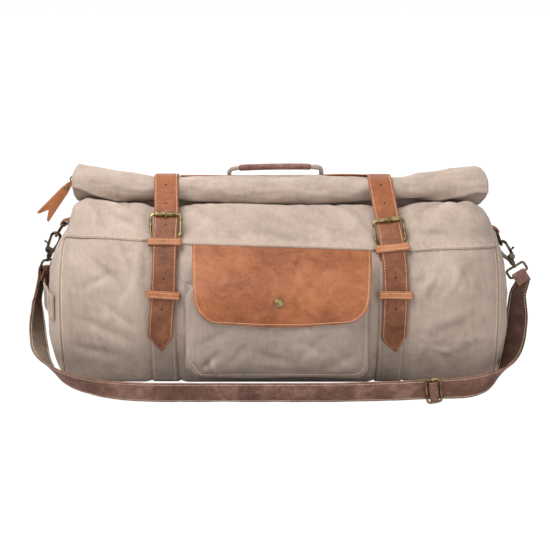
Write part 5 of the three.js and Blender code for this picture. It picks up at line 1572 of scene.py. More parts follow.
def closed_sheet(name, middle, normal, half_front, half_back, finish, cloth_map, edge):
    """A sheet with two faces and a closed border, so thick to the front and back of its middle."""
    front, back = middle + normal * half_front[..., None], middle - normal * half_back[..., None]
    rows, columns = edge.shape
    count = rows * columns
    front_faces = grid_faces(rows, columns)
    back_faces = [[i + count for i in face][::-1] for face in front_faces]
    index = np.arange(count).reshape(rows, columns)
    border = np.concatenate([index[0], index[1:, -1], index[-1, -2::-1], index[-2:0:-1, 0]]).tolist()
    rim = [[a, b, b + count, a + count] for a, b in zip(border, border[1:] + border[:1])]
    both_maps, both_edges = np.stack([cloth_map, cloth_map]), np.stack([edge, edge])
    return shell(name, np.stack([front, back]), front_faces + back_faces + rim, finish, both_maps, both_edges)


even_share = np.linspace(-1, 1, FLAP["across"])
share_grid, run_grid = np.meshgrid(0.55 * np.sin(even_share * math.pi / 2) + 0.45 * even_share, flap_run)
flap_mid = flap_point(share_grid, run_grid)
flap_normal = unit(np.cross(np.gradient(flap_mid, axis=0), np.gradient(flap_mid, axis=1)))
from_edge = np.minimum((1 - np.abs(share_grid)) * flap_half[:, None], left_below[:, None])
half_thick = FLAP["thick"] / 2 * np.clip(from_edge / 1.1, 0.12, 1) ** 0.5
stitched_in = FLAP_STITCH["deep"] * bump_at(from_edge, FLAP_STITCH["groove"], 0.9)
leather_lift = soft_noise(flap_mid, 42, 15.0) * 0.5 * np.clip(from_edge / 8, 0, 1)
flap = closed_sheet(
    "flap_leather", flap_mid, flap_normal, half_thick - stitched_in + leather_lift, half_thick, LEATHER_TAN,
    np.stack([flap_mid[..., 0], run_grid], axis=-1), fade(from_edge, FLAP["edge"], 0),
)
place_on(flap, ["pocket_flap"])

# %% Stitches round the flap, and its snap
SNAP = {"x": 2.3, "z": 121, "sides": 40}
SNAP_PROFILE = [
    # height above the leather, radius
    (-0.3, 5.8), (0.5, 5.8), (1.1, 5.6), (1.5, 5.1), (1.65, 4.5), (1.45, 4.1), (1.5, 3.6), (1.75, 2.6),
    (1.9, 1.4),
    (1.95, 0.4),
]
above_edge = flap_run < flap_long - FLAP_STITCH["inset"]
side_run, side_half = flap_run[above_edge], flap_half[above_edge]
side_inset = FLAP_STITCH["inset"] * (1 + 0.9 * (drop[above_edge] / FLAP["corner"]) ** 2)
tried = np.linspace(0, 1, 400)
inside = (1 - tried) * side_half[:, None] >= side_inset[:, None]
edge_share = np.where(inside, tried, 0).max(axis=1)
along_bottom = np.linspace(-edge_share[-1], edge_share[-1], FLAP_STITCH["across"])
turn_share = np.concatenate([-edge_share, along_bottom, edge_share[::-1]])
turn_run = np.concatenate([side_run, np.full(len(along_bottom), side_run[-1]), side_run[::-1]])
lifted = read_rows(turn_run, flap_run, flap_out) * (FLAP["thick"] / 2 - 0.1)
stitch_lines["peach"].append(flap_point(turn_share, turn_run) + lifted)

snap_run = float(np.interp(-SNAP["z"], -flap_line[:, 2], flap_run))
snap_share = (SNAP["x"] - FLAP["x"]) / float(np.interp(snap_run, flap_run, flap_half))
snap_axis = unit(read_rows(snap_run, flap_run, flap_out))
snap_foot = flap_point(np.array(snap_share), np.array(snap_run)) + snap_axis * (FLAP["thick"] / 2)
snap = turned_metal("snap_brass", SNAP_PROFILE, snap_foot, snap_axis, BRASS, SNAP["sides"])
place_on(snap, ["pocket_snap"])
print("flap:", len(flap.data.polygons), "faces, snap at", snap_foot.round(1))

# %% [markdown]
# ## Handle
# The carrying handle is a canvas cord with a leather sleeve rolled round it, standing on a leather strip
# that runs along the back of the roll's top between the straps. The strip follows the roll's own surface,
# so it is built from the same table.

# %% Handle
BRIDGE = {"width": 13, "thick": 1.3, "rise": 0.2, "stitches": 4.4}
BRIDGE_TURN = np.array([
    # x, degrees round the roll from the back
    (-121.5, 36), (-60, 34), (50, 36), (80, 50), (113.5, 54),
])
HANDLE = {"cord": 2.6, "grip": 3.9, "from": -46, "to": 41, "spacing": 1.2, "sides": 18, "knuckle_x": 49}
HANDLE_ROWS = [
    # x, y, z of the cord's middle
    (-59, 1.0, 247.5), (-60, -3, 255.5), (-57.5, -5.4, 259.6), (-51, -6.3, 261.4), (-2, -6.3, 263.4),
    (46, -6.3, 263), (53.5, -5.8, 261.8), (55.5, -3.6, 256.8), (55, 1.0, 247.5),
]
bridge_x = np.linspace(BRIDGE_TURN[0, 0], BRIDGE_TURN[-1, 0], 90)
bridge_turn = np.radians(np.interp(bridge_x, *BRIDGE_TURN.T))
height, depth, tall = roll_sizes(bridge_x).T
bridge_path = np.column_stack([
    bridge_x, ROLL_Y + (depth + BRIDGE["rise"]) * np.cos(bridge_turn),
    height + (tall + BRIDGE["rise"]) * np.sin(bridge_turn),
])
bridge_across = np.stack([np.zeros(len(bridge_x)), np.sin(bridge_turn), -np.cos(bridge_turn)], axis=1)
bridge = strip(
    "bridge_leather", bridge_path, bridge_across, BRIDGE["width"], BRIDGE["thick"], LEATHER_TAN,
    ripple=0.15, seed=3.0,
)
place_on(bridge, ["handle_bridge"])
for offset in (-BRIDGE["stitches"], BRIDGE["stitches"]):
    stitch_lines["peach"].append(beside(bridge_path, bridge_across, offset, BRIDGE["thick"] * 0.42))

handle_line = smooth_curve(HANDLE_ROWS, HANDLE["spacing"])
handle_x = handle_line[:, 0]
cord_radius = HANDLE["cord"] + 0.7 * bump_at(handle_x, HANDLE["knuckle_x"], 5)
handle_core = wire("handle_cord_canvas", handle_line, cord_radius, CANVAS_DARK, sides=HANDLE["sides"])
cord_corner = np.array([loop.vertex_index for loop in handle_core.data.loops])
cord_row, cord_turn = np.divmod(cord_corner, HANDLE["sides"])
cord_map = np.column_stack([cord_row * HANDLE["spacing"], cord_turn * 0.9]) * MM
handle_core.data.uv_layers.new(name="cloth").data.foreach_set("uv", cord_map.ravel())
set_mask(handle_core, "fold", np.zeros(len(handle_core.data.vertices)))
place_on(handle_core, ["handle_core"])
grip_line = handle_line[(handle_x > HANDLE["from"]) & (handle_x < HANDLE["to"])]
from_grip_end = np.minimum(grip_line[:, 0] - HANDLE["from"], HANDLE["to"] - grip_line[:, 0])
grip_radius = HANDLE["grip"] - 0.4 * fade(from_grip_end, 1.5, 0) + soft_noise(grip_line, 9, 21.0) * 0.18
grip = wire("grip_leather", grip_line, grip_radius, LEATHER_DARK, sides=22)
# The edge mask is set along the top of the grip by height, so the top takes the lighter edge colour.
grip_height = np.array([corner.co.z for corner in grip.data.vertices]) / MM
set_mask(grip, "edge", np.clip((grip_height - grip_height.mean() - 2.2) / 2, 0, 0.6))
place_on(grip, ["handle_grip"])
print("handle:", length_of(handle_line), "mm of cord")

# %% [markdown]
# ## Rings and clips at the ends
# A leather tab at each shoulder holds a D-ring. A spring clip hooks the ring: a bent hook, a barrel at its
# foot and a gate that swings in. The gate is a body of its own in the frame, so its piece rides on that
# body and turns on the pin. The swivel eye below the barrel carries the shoulder strap.

# %% Tabs, rings and clips
TAB = {"width": 20, "thick": 2.0, "start": 1.5, "stitches": 7.6}
RING = {"wire": 1.6, "half": 13.5, "length": 20, "held": 75}
EYE = {"wire": 1.6, "half": 12.5, "length": 12, "top": -3.2, "corner": 3}
SHOULDER = {"high": (250, 203), "low": (262, 182)}
CLIP = {
    "barrel": 3.4, "barrel_top": 7, "centre": 28, "bend": 6.0, "wire": 1.4, "holds": 30.7,
    "pivot": (5.4, 11),
}
CHEEK = {"off": 2.15, "half": 0.5, "bevel": 0.25}
CHEEK_ROWS = np.array(
    [(-1.0, 6), (5.0, 6.4), (7.4, 8.8), (7.7, 11.5), (6.8, 13.4), (3.4, 13.6), (-0.6, 12.4)],
)
SHANK_ROWS = [(-0.6, 6.5), (-2.2, 10.5), (-3.9, 14.5), (-5.2, 19.5), (-5.9, 24)]
HOOK_TAPER = np.array([(0, 1.85), (0.12, 1.75), (0.3, 1.6), (0.85, 1.5), (1, 1.15)])
BARREL_TAPER = np.array([0.78, 0.92, 0.98, 1, 1, 1, 0.98, 0.92, 0.8])
PIN = {"half": 2.9, "radius": 0.95}
GATE = {"rows": [CLIP["pivot"], (5.7, 16), (5.9, 21), (5.9, 26.4)], "radius": (2.0, 1.6)}
THUMB = {"rows": [(6.2, 17.4), (8.0, 18.0), (9.6, 18.6), (10.9, 18.9)], "radius": [1.1, 1.0, 1.1, 1.45]}
STUD = {"top": 3.0, "radius": [2.3, 2.0, 1.6, 1.6, 1.6, 1.6]}
ENDS = [
    {"side": "left", "sign": -1, "laid": 9, "bar": (270, 190.5), "ring_to": (281, 173),
     "clip_to": (292.5, 142),
     "eye_across": (0.4, 0.92, 0)},
    {"side": "right", "sign": 1, "laid": 17, "bar": (277.5, 180.5), "ring_to": (285.5, 162),
     "clip_to": (304, 133),
     "eye_across": (-1.0, 0, 0)},
]
eye_bars = {}


def in_plane(end, pair):
    """A pair (out from the middle, up) as a place in the bag's long upright plane."""
    return np.array([end["sign"] * pair[0], 0.0, pair[1]])


def tab(end, bar):
    """The leather tab: laid on the shoulder, round the ring's bar and back."""
    side, sign, laid_long = end["side"], end["sign"], end["laid"]
    high = in_plane(end, SHOULDER["high"])
    down = unit(in_plane(end, SHOULDER["low"]) - high)
    out = np.array([-sign * down[2], 0, sign * down[0]])
    lower = GAP + TAB["thick"] / 2
    upper = lower + TAB["thick"] + GAP

    def laid(run, off):
        return high + down * run + out * off

    to_bar = unit(bar - laid(laid_long, (lower + upper) / 2))
    beside_bar = np.array([-to_bar[2], 0, to_bar[0]]) * sign
    turn = RING["wire"] + GAP + TAB["thick"] / 2
    angles = np.radians(np.linspace(-90, 90, 13))[:, None]
    around = bar + turn * (to_bar * np.cos(angles) + beside_bar * np.sin(angles))
    path = np.vstack([
        laid(TAB["start"], lower), laid(laid_long, lower), around, laid(laid_long, upper),
        laid(TAB["start"], upper),
    ])
    path = rounded(even_path(path, 1.0), 1)
    made = strip(
        f"tab_leather_{side}", path, Y_AXIS, TAB["width"], TAB["thick"], LEATHER_BROWN, groove=2.4,
        ripple=0.0,
    )
    place_on(made, [f"ring_tab_{side}"])
    run = along_path(path)
    on_top = path[run > run[-1] - laid_long - 2]
    for offset in (-TAB["stitches"], TAB["stitches"]):
        stitch_lines["peach"].append(on_top + Y_AXIS * offset + out * (TAB["thick"] / 2 - 0.1))


def d_ring(end, bar, hang):
    """A D of wire: a straight bar and a bow that hangs from it."""
    straight = bar + Y_AXIS * np.linspace(-RING["half"], RING["half"], 15)[:, None]
    angles = np.radians(np.linspace(6, 174, 29))[:, None]
    bow = bar + hang * RING["length"] * np.sin(angles) + Y_AXIS * RING["half"] * np.cos(angles)
    side = end["side"]
    made = wire(
        f"d_ring_metal_{side}", even_loop(np.vstack([straight, bow])), RING["wire"], BRONZE, closed=True,
    )
    place_on(made, [f"d_ring_{side}"])


def plate(name, outline, middle, u, v):
    """A flat metal plate from a closed outline (u, v), with its rims rounded."""
    forward = unit(np.roll(outline, -1, axis=0) - np.roll(outline, 1, axis=0))
    centre = np.mean(outline, axis=0)
    around = np.cross(outline - centre, np.roll(outline, -1, axis=0) - centre)
    inward = np.stack([-forward[:, 1], forward[:, 0]], axis=1) * np.sign(np.sum(around))
    half, bevel = CHEEK["half"], CHEEK["bevel"]
    rim = [(half, bevel), (half - 0.3 * bevel, 0.35 * bevel), (half - bevel, 0.0)]
    layers = []
    for w, pull in [(-w, pull) for w, pull in rim] + rim[::-1]:
        flat = outline + inward * pull
        layers.append(middle + flat[:, :1] * u + flat[:, 1:] * v + Y_AXIS * w)
    size = (len(layers), len(outline))
    return shell(name, np.array(layers), grid_faces(*size, closed=True) + end_faces(*size), BRONZE)


def clip(end, held):
    """Hook, gate and swivel eye of one clip, which hangs from the place where the ring holds it."""
    side = end["side"]
    v = unit(held - in_plane(end, end["clip_to"]))
    u = np.array([-v[2], 0, v[0]]) * -end["sign"]
    origin = held - v * CLIP["holds"]

    def in_clip(rows):
        flat = np.asarray(rows, dtype=float)
        return origin + flat[:, :1] * u + flat[:, 1:2] * v

    def up_middle(start, stop, count):
        return origin + v * np.linspace(start, stop, count)[:, None]

    angles = np.radians(np.linspace(188, -8, 15))
    bend = np.column_stack([np.cos(angles), np.sin(angles)]) * CLIP["bend"] + np.array([0, CLIP["centre"]])
    hook_line = smooth_curve(in_clip(np.vstack([SHANK_ROWS, bend])), 0.8)
    hook_radius = CLIP["wire"] * np.interp(np.linspace(0, 1, len(hook_line)), *HOOK_TAPER.T)
    barrel_line = up_middle(0.4, CLIP["barrel_top"] - 0.4, len(BARREL_TAPER))
    outline = np.column_stack([np.vstack([CHEEK_ROWS, CHEEK_ROWS[:1]]), np.zeros(len(CHEEK_ROWS) + 1)])
    cheek = spread(smooth_curve(outline, 0.6)[:, :2], 40)[:-1]
    pin_line = in_clip([CLIP["pivot"]]) + Y_AXIS * np.linspace(-PIN["half"], PIN["half"], 5)[:, None]
    hook = joined(f"hook_metal_{side}", [
        wire(f"hook_bend_{side}", hook_line, hook_radius, BRONZE, sides=18),
        wire(f"hook_barrel_{side}", barrel_line, CLIP["barrel"] * BARREL_TAPER, BRONZE, sides=22),
        *[
            plate(f"hook_cheek_{side}", cheek, origin + Y_AXIS * w, u, v)
            for w in (-CHEEK["off"], CHEEK["off"])
        ],
        wire(f"hook_pin_{side}", pin_line, PIN["radius"], BRONZE, sides=16),
    ])
    place_on(hook, [f"clip_hook_{side}"])

    gate_line = smooth_curve(in_clip(GATE["rows"]), 0.8)
    gate = joined(f"gate_metal_{side}", [
        wire(f"gate_bar_{side}", gate_line, np.linspace(*GATE["radius"], len(gate_line)), BRONZE, sides=16),
        wire(f"gate_thumb_{side}", in_clip(THUMB["rows"]), THUMB["radius"], BRONZE, sides=16),
    ])
    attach(gate, f"{side}_gate")
    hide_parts(f"clip_gate_{side}")

    wide = np.array(end["eye_across"])
    across = unit(wide - (wide @ v) * v)
    flat = loop_outline(2 * EYE["half"], EYE["length"], EYE["corner"], 8)
    eye_loop = origin + across * flat[:, :1] + v * (EYE["top"] - EYE["length"] / 2 + flat[:, 1:])
    eye = joined(f"eye_metal_{side}", [
        wire(f"eye_wire_{side}", even_loop(eye_loop), EYE["wire"], BRONZE, closed=True),
        wire(f"eye_stud_{side}", up_middle(EYE["top"], STUD["top"], 6), STUD["radius"], BRONZE, sides=16),
    ])
    place_on(eye, [f"clip_eye_{side}"])
    eye_bars[side] = {"at": origin + v * (EYE["top"] - EYE["length"]), "across": across}


for end in ENDS:
    bar = in_plane(end, end["bar"])
    hang = unit(in_plane(end, end["ring_to"]) - bar)
    tab(end, bar)
    d_ring(end, bar, hang)
    clip(end, bar + hang * RING["length"] * math.sin(math.radians(RING["held"])))
print("clips:", {side: row["at"].round(1).tolist() for side, row in eye_bars.items()})

# %% [markdown]
# ## Shoulder strap
# The strap leaves the left clip, falls along the end of the bag, lies along the front of it on the ground
# and rises to the right clip with its inner face turned to the viewer. Rows give its middle and the
# direction across it. At each end it folds round the bar of the clip's eye and is sewn to itself.

# %% Shoulder strap
SHOULDER_STRAP = {
    "width": 28, "end_width": 18, "thick": 2.4, "widens": 46, "stitches": 2.6, "clear_of_fold": 24,
}
SHOULDER_ROWS = np.array([
    # x, y, z of the middle, then the direction across
    (-306, -9, 92, 0.3, 0.95, 0), (-301, -42, 53, 0.58, 0.77, -0.25), (-288, -86, 36, 0.38, 0.86, -0.32),
    (-262, -120, 24, 0.1, 0.65, -0.75), (-222, -144, 18.4, 0.05, 0.48, -0.87),
    (-175, -153, 15.4, 0, 0.36, -0.93),
    (-60, -155.5, 14.9, 0, 0.36, -0.93), (90, -155, 15.4, 0, 0.32, -0.95), (190, -152.5, 18.4, 0, 0.26, -1),
    (237, -144, 19.4, -0.15, 0.1, -1), (270, -117, 25, -0.55, 0.1, -0.8), (290, -77, 42, -0.9, 0.1, -0.35),
    (302, -38, 71, -1, 0, 0), (306, -13, 102, -1, 0, -0.2),
])
TAIL = [
    # distance down from the eye's bar, height off the strap's middle, where the folded end lies on the strap
    (15, 1.7), (10, 2), (5, 2.9),
]


def folded_end(bar, first, inner):
    """The end of the strap folded round a bar, from its sewn tail to where the strap runs free."""
    across = bar["across"]
    down = first - bar["at"]
    down = unit(down - (down @ across) * across)
    face = unit(np.cross(down, across))
    face = face if face @ inner >= 0 else -face
    turn = EYE["wire"] + GAP + SHOULDER_STRAP["thick"] / 2
    turned_round = [(-turn * math.sin(a), turn * math.cos(a)) for a in np.radians(np.linspace(0, 180, 13))]
    flat = [*TAIL, *turned_round, (5, -2.9), (10, -2)]
    return np.array([bar["at"] + down * d + face * n for d, n in flat])


free = smooth_curve(SHOULDER_ROWS, 2.0)
from_bars = [np.linalg.norm(free[:, :3] - bar["at"], axis=1) for bar in eye_bars.values()]
free = free[np.minimum(*from_bars) > SHOULDER_STRAP["clear_of_fold"]]
left_end = folded_end(eye_bars["left"], free[0, :3], X_AXIS)
right_end = folded_end(eye_bars["right"], free[-1, :3], -Y_AXIS)[::-1]
shoulder_line = np.vstack([left_end, free[:, :3], right_end])
end_across = [np.tile(eye_bars[side]["across"], (len(left_end), 1)) for side in ("left", "right")]
shoulder_across = np.vstack([end_across[0], unit(free[:, 3:]), end_across[1]])
for i in range(1, len(shoulder_across)):
    if shoulder_across[i] @ shoulder_across[i - 1] < 0:
        shoulder_across[i] *= -1
free_run = along_path(free[:, :3])
to_end = np.minimum(free_run, free_run[-1] - free_run)
wider = np.clip(to_end / SHOULDER_STRAP["widens"] + 0.3, 0, 1) * (
    SHOULDER_STRAP["width"] - SHOULDER_STRAP["end_width"]
)
at_end = np.zeros(len(left_end))
shoulder_width = SHOULDER_STRAP["end_width"] + np.concatenate([at_end, wider, at_end])
shoulder_line, shoulder_across, shoulder_width = even_path(
    shoulder_line, 1.3, shoulder_across, shoulder_width,
)
order = np.arange(len(shoulder_line))
past_fold = fade(np.minimum(order, order[::-1]), 24, 32)[:, None]
shoulder_line = rounded(shoulder_line, 1, 1) * (1 - past_fold) + rounded(shoulder_line, 12) * past_fold
shoulder_width = rounded(shoulder_width, 6)[:, 0]
shoulder_across = unit(rounded(shoulder_across, 12))
shoulder = strip(
    "shoulder_leather", shoulder_line, shoulder_across, SHOULDER_STRAP["width"], SHOULDER_STRAP["thick"],
    LEATHER_DARK, shoulder_width, groove=2.6, ripple=0.45, seed=5.0, second=LEATHER_SUEDE,
)
place_on(shoulder, ["shoulder_strap"])
# Painted light: the suede face takes lighter colours in the low bend at the left end, where the floor lights
# it.
floor_lit_bend = fade(shoulder_line[:, 2], 88, 43) * fade(shoulder_line[:, 0], -245, -270)
mask_along(shoulder, "tone", shoulder_line, floor_lit_bend)
for sign in (-1, 1):
    for face in (-1, 1):
        offset = sign * (shoulder_width / 2 - SHOULDER_STRAP["stitches"])
        line = beside(shoulder_line, shoulder_across, offset, face * SHOULDER_STRAP["thick"] * 0.44)
        stitch_lines["cream"].append(line[12:-12])
print("shoulder strap:", length_of(shoulder_line), "mm long")

# %% Slider
SLIDER = {
    "lift": 0.5, "x": 186, "y": -152, "along": 20, "tall": 35, "wire": 1.5, "corner": 3.5, "lean": 7,
    "bar_past": 0.6,
}
WRAP = {"along": 11, "tall": 27, "thick": 1.5, "corner": 2.0}
slider_at = int(np.argmin(np.hypot(free[:, 0] - SLIDER["x"], 0.2 * (free[:, 1] - SLIDER["y"]))))
slider_middle = free[slider_at, :3] + Z_AXIS * SLIDER["lift"]
slider_along = unit(free[slider_at + 1, :3] - free[slider_at - 1, :3])
slider_down = unit(free[slider_at, 3:] - (free[slider_at, 3:] @ slider_along) * slider_along)
slider_out = -np.cross(slider_along, slider_down)
lean = math.radians(SLIDER["lean"])
lean_along, lean_down = [
    direction * math.cos(lean) + np.cross(slider_out, direction) * math.sin(lean)
    for direction in (slider_along, slider_down)
]
bar_out = SHOULDER_STRAP["thick"] / 2 + 2 * GAP + WRAP["thick"] + SLIDER["wire"]
slider_place = {
    "at": slider_middle + slider_out * bar_out, "across": lean_along, "down": lean_down, "out": slider_out,
}
slider_flat = loop_outline(
    SLIDER["along"] - 2 * SLIDER["wire"], SLIDER["tall"] - 2 * SLIDER["wire"], SLIDER["corner"], 8,
)
slider_loop = even_loop(np.array([in_frame(slider_place, a, d, 0) for a, d in slider_flat]))
bar_reach = SLIDER["tall"] / 2 + SLIDER["bar_past"] - SLIDER["wire"]
bar_line = [in_frame(slider_place, 0, d, 0) for d in np.linspace(-bar_reach, bar_reach, 8)]
slider = joined("slider_brass", [
    wire("slider_frame", slider_loop, SLIDER["wire"], BRASS, closed=True),
    wire("slider_bar", bar_line, SLIDER["wire"] * 0.95, BRASS),
])
place_on(slider, ["strap_slider"])
wrap_flat = loop_outline(
    WRAP["along"] - WRAP["thick"], 2 * (SLIDER["wire"] + GAP) + WRAP["thick"], WRAP["corner"],
)
wrap_loop = np.array([in_frame(slider_place, a, 0, o) for a, o in wrap_flat])
wrap = ring_strip("wrap_leather", wrap_loop, lean_down, WRAP["tall"], WRAP["thick"], LEATHER_DARK)
place_on(wrap, ["slider_wrap"])

# %% [markdown]
# ## Grab loop and zip pull
# A canvas loop is sewn across the left end, with a boxed cross of stitches at each foot. Above it the tail
# of the zip hangs from the roll: slider body, wire ring and a tan pull cut to a swallow tail.

# %% Grab loop
GRAB = {"z": 104, "width": 32, "thick": 2.0, "stitches": 13.2, "shade": -0.24, "off_end": 0.2}
GRAB_HALF = [
    # x, y from the middle of the loop to its foot
    (-295.5, 0), (-293.6, 26), (-288.2, 46), (-283.2, 60), (-277.9, 76), (-273.4, 88), (-269.4, 96),
]
GRAB_BOX = {"from": 3, "to": 27, "half": 10.5, "off": 0.3, "slope": 0.36}
grab_rows = [(x, -y, GRAB["z"]) for x, y in GRAB_HALF[:0:-1]] + [(x, y, GRAB["z"]) for x, y in GRAB_HALF]
grab_path = smooth_curve(grab_rows, 1.6)
end_skin = np.array([corner.co for corner in end_panels[0].data.vertices]) / MM
near_grab = end_skin[np.abs(end_skin[:, 2] - GRAB["z"]) < GRAB["width"] / 2]
for point in grab_path:
    under = near_grab[np.abs(near_grab[:, 1] - point[1]) < 5, 0].min()
    point[0] = min(point[0], under - GRAB["thick"] / 2 - GRAB["off_end"])
grab = strip(
    "grab_cloth", grab_path, Z_AXIS, GRAB["width"], GRAB["thick"], CANVAS_DARK, groove=2.6, ripple=0.15,
    seed=8.0,
    second=LEATHER_BROWN,
)
mask_along(grab, "fold", grab_path, GRAB["shade"] * fade(np.abs(grab_path[:, 1]), 74, 64))
place_on(grab, ["end_grab_left"])
for offset in (-GRAB["stitches"], GRAB["stitches"]):
    stitch_lines["cream"].append(beside(grab_path, Z_AXIS, offset, -GRAB["thick"] / 2))
grab_run = along_path(grab_path)
for foot_run, slope in ((grab_run, -GRAB_BOX["slope"]), (grab_run[-1] - grab_run, GRAB_BOX["slope"])):
    order = np.argsort(foot_run)
    base = read_rows(np.array([GRAB_BOX["from"], GRAB_BOX["to"]]), foot_run[order], grab_path[order])
    base = base + unit([-1.0, slope, 0]) * (GRAB["thick"] / 2 + GRAB_BOX["off"])
    up = Z_AXIS * GRAB_BOX["half"]
    corners = np.array([base[0] - up, base[1] - up, base[1] + up, base[0] + up])
    stitch_lines["cream"] += [corners[[0, 1, 2, 3, 0]], corners[[0, 2]], corners[[1, 3]]]

# %% Zip slider and ring
ZIP = {"y": -18, "wire": 0.9, "bail": 3.4, "ring": 4, "slip": 1.2, "thick": 1.5}
ZIP_BODY = {"from": -245.5, "to": -246.3, "z": 254.7, "radius": [2.2, 2.5, 2.5, 2.4, 2.4, 2.5, 2.5, 2.2]}
PULL_RUN, PULL_ACROSS = np.array([-0.642, 0, -0.767]), np.array([-0.767, 0, 0.642])
zip_bail = np.array([-250.4, ZIP["y"], 253.2])
zip_centre = zip_bail + PULL_RUN * (ZIP["slip"] + ZIP["ring"])
body_ends = [(ZIP_BODY[key], ZIP["y"], ZIP_BODY["z"]) for key in ("from", "to")]
zip_slider = joined("zip_slider_brass", [
    wire("zip_body", np.linspace(*body_ends, 8), ZIP_BODY["radius"], BRASS, sides=12),
    wire("zip_bail", circle(zip_bail, PULL_RUN, Y_AXIS, ZIP["bail"]), ZIP["wire"], BRASS, closed=True),
])
place_on(zip_slider, ["zip_slider"])
ring_line = circle(zip_centre, PULL_RUN, PULL_ACROSS, ZIP["ring"])
place_on(wire("zip_ring_brass", ring_line, ZIP["wire"], BRASS, closed=True), ["zip_ring"])

# %% Zip pull
PULL_TURN = ZIP["wire"] + 2 * GAP + ZIP["thick"] / 2
PULL_LONG = 58
PULL_ROWS = np.array([
    # distance down from the ring, height off the middle, width: back ply, bend round the ring, front ply
    (15, 1.15, 9), (5, 1.4, 7),
    *[(-PULL_TURN * math.sin(a), PULL_TURN * math.cos(a), 3.4) for a in np.radians(np.linspace(0, 180, 9))],
    (5, -1.4, 7), (15, -1.15, 11), (38, -1.15, 15), (PULL_LONG, -1.15, 19),
])
NOTCH = {"from": 46, "past": 62, "half": 8.5}
BACK_PLY = 0.35
RIVET = {"down": 10, "out": 1.2, "sides": 24}
RIVET_PROFILE = [(-0.2, 2.6), (0.4, 2.6), (0.8, 2.2), (1.05, 1.3), (1.1, 0.3)]
pull_top = zip_centre + PULL_RUN * ZIP["ring"]
pull_rows, pull_width = even_path(PULL_ROWS[:, :2], 1.0, PULL_ROWS[:, 2])
pull_share = np.linspace(-1, 1, 21)
pull_side = pull_share * pull_width / 2
to_side = (1 - np.abs(pull_share)) * pull_width / 2
pull_down = np.repeat(pull_rows[:, :1], len(pull_share), axis=1)
front_ply = np.arange(len(pull_rows))[:, None] > len(pull_rows) * BACK_PLY
notch_slope = (NOTCH["past"] - NOTCH["from"]) / NOTCH["half"]
tail_end = np.minimum(PULL_LONG, NOTCH["from"] + notch_slope * np.abs(pull_side))
pull_down = pull_down - fade(pull_down, 30, PULL_LONG) * front_ply * (PULL_LONG - tail_end)
curl = 1.2 * fade(pull_down, 25, PULL_LONG) ** 2 * np.sin(pull_side / 5.0 + 0.6)
pull_mid = pull_top + PULL_RUN * pull_down[..., None] + PULL_ACROSS * pull_side[..., None]
pull_mid[..., 1] = ZIP["y"] + pull_rows[:, 1:2] + 0.5 * curl
pull_normal = unit(np.cross(np.gradient(pull_mid, axis=1), np.gradient(pull_mid, axis=0)))
half_pull = ZIP["thick"] / 2 * np.clip(to_side / 0.6, 0.25, 1) ** 0.5
to_tail = np.where(front_ply, np.maximum(tail_end - pull_down, 0), 9)
pull = closed_sheet(
    "pull_leather", pull_mid, pull_normal, half_pull, half_pull, LEATHER_TAN,
    np.stack([pull_side, pull_down], axis=-1), np.clip(1 - np.minimum(to_side, to_tail) / 1.6, 0, 1),
)
place_on(pull, ["zip_pull"])
rivet_foot = pull_top + PULL_RUN * RIVET["down"]
rivet_foot[1] = ZIP["y"] - RIVET["out"] - ZIP["thick"] / 2
rivet = turned_metal("rivet_brass", RIVET_PROFILE, rivet_foot, -Y_AXIS, BRASS, RIVET["sides"])
place_on(rivet, ["zip_rivet"])
print("zip pull:", len(pull.data.polygons), "faces")

# %% [markdown]
# ## Stitches and punched holes
# The cells above kept a line wherever something is sewn. Geometry Nodes turns those lines into thread: each
# line becomes a curve, the curve is read at one point per stitch, and a small rounded grain of thread is
# set on every point, turned along the line and slanted a little at random. One tree makes every row, so a
# change to a stitch is made once. The holes in the straps come from a second tree, which sets a dark disc
# on each point and turns it to face out; the disc is painted shade, standing in for the dark gap that each
# hole opens onto.

# %% Seams of the body
SEAM_STITCH = {"from_seam": 2.4, "out": 0.5, "up": 0.35}
FAR_AWAY = 1e3


def line_beside_seam(points, from_seam):
    """A line on a panel at a fixed distance from its seam."""
    order = np.argsort(from_seam, axis=1)
    rows = zip(points, from_seam, order)
    return np.array([read_rows(SEAM_STITCH["from_seam"], far[turn], row[turn]) for row, far, turn in rows])


front_half = yoke_front_v < yoke_back_v
for sign, from_seam, here in ((-1, yoke_front_v, front_half), (1, yoke_back_v, ~front_half)):
    sewn = line_beside_seam(yoke_points, np.where(here, from_seam, FAR_AWAY))
    stitch_lines["cream"].append(sewn + Y_AXIS * sign * SEAM_STITCH["out"] + Z_AXIS * SEAM_STITCH["up"])
for row in (1, -2):
    across_yoke = yoke_points[row]
    in_front, behind = across_yoke[:, 1] < MOUTH["front"], across_yoke[:, 1] > MOUTH["back"]
    stitch_lines["cream"] += [lower_points[row], across_yoke[in_front], across_yoke[behind]]

# %% Trees for stitches and holes
STITCH = {"spacing": 3.5, "length": 3.15, "thick": 0.8, "slant": 0.14}
HOLES = {"first": 250, "further": (5.7, 34.6, 66, 98, 136, 173), "radius": 1.2, "off": 0.1}
SHAPE = "NodeSocketGeometry"
FINISH = "NodeSocketMaterial"


def new_tree(name, inputs):
    """An empty Geometry Nodes tree with named inputs (name, kind, value)."""
    tree = bpy.data.node_groups.new(name, "GeometryNodeTree")
    for label, kind, value in [("Geometry", SHAPE, None), *inputs]:
        socket = tree.interface.new_socket(label, in_out="INPUT", socket_type=kind)
        if value is not None:
            socket.default_value = value
    tree.interface.new_socket("Geometry", in_out="OUTPUT", socket_type=SHAPE)
    return tree, tree.nodes.new("NodeGroupInput").outputs


def facing(tree, direction):
    """A rotation that turns Z to a direction."""
    return add_node(
        tree, "FunctionNodeAlignRotationToVector", {"Vector": direction}, axis="Z",
    ).outputs["Rotation"]


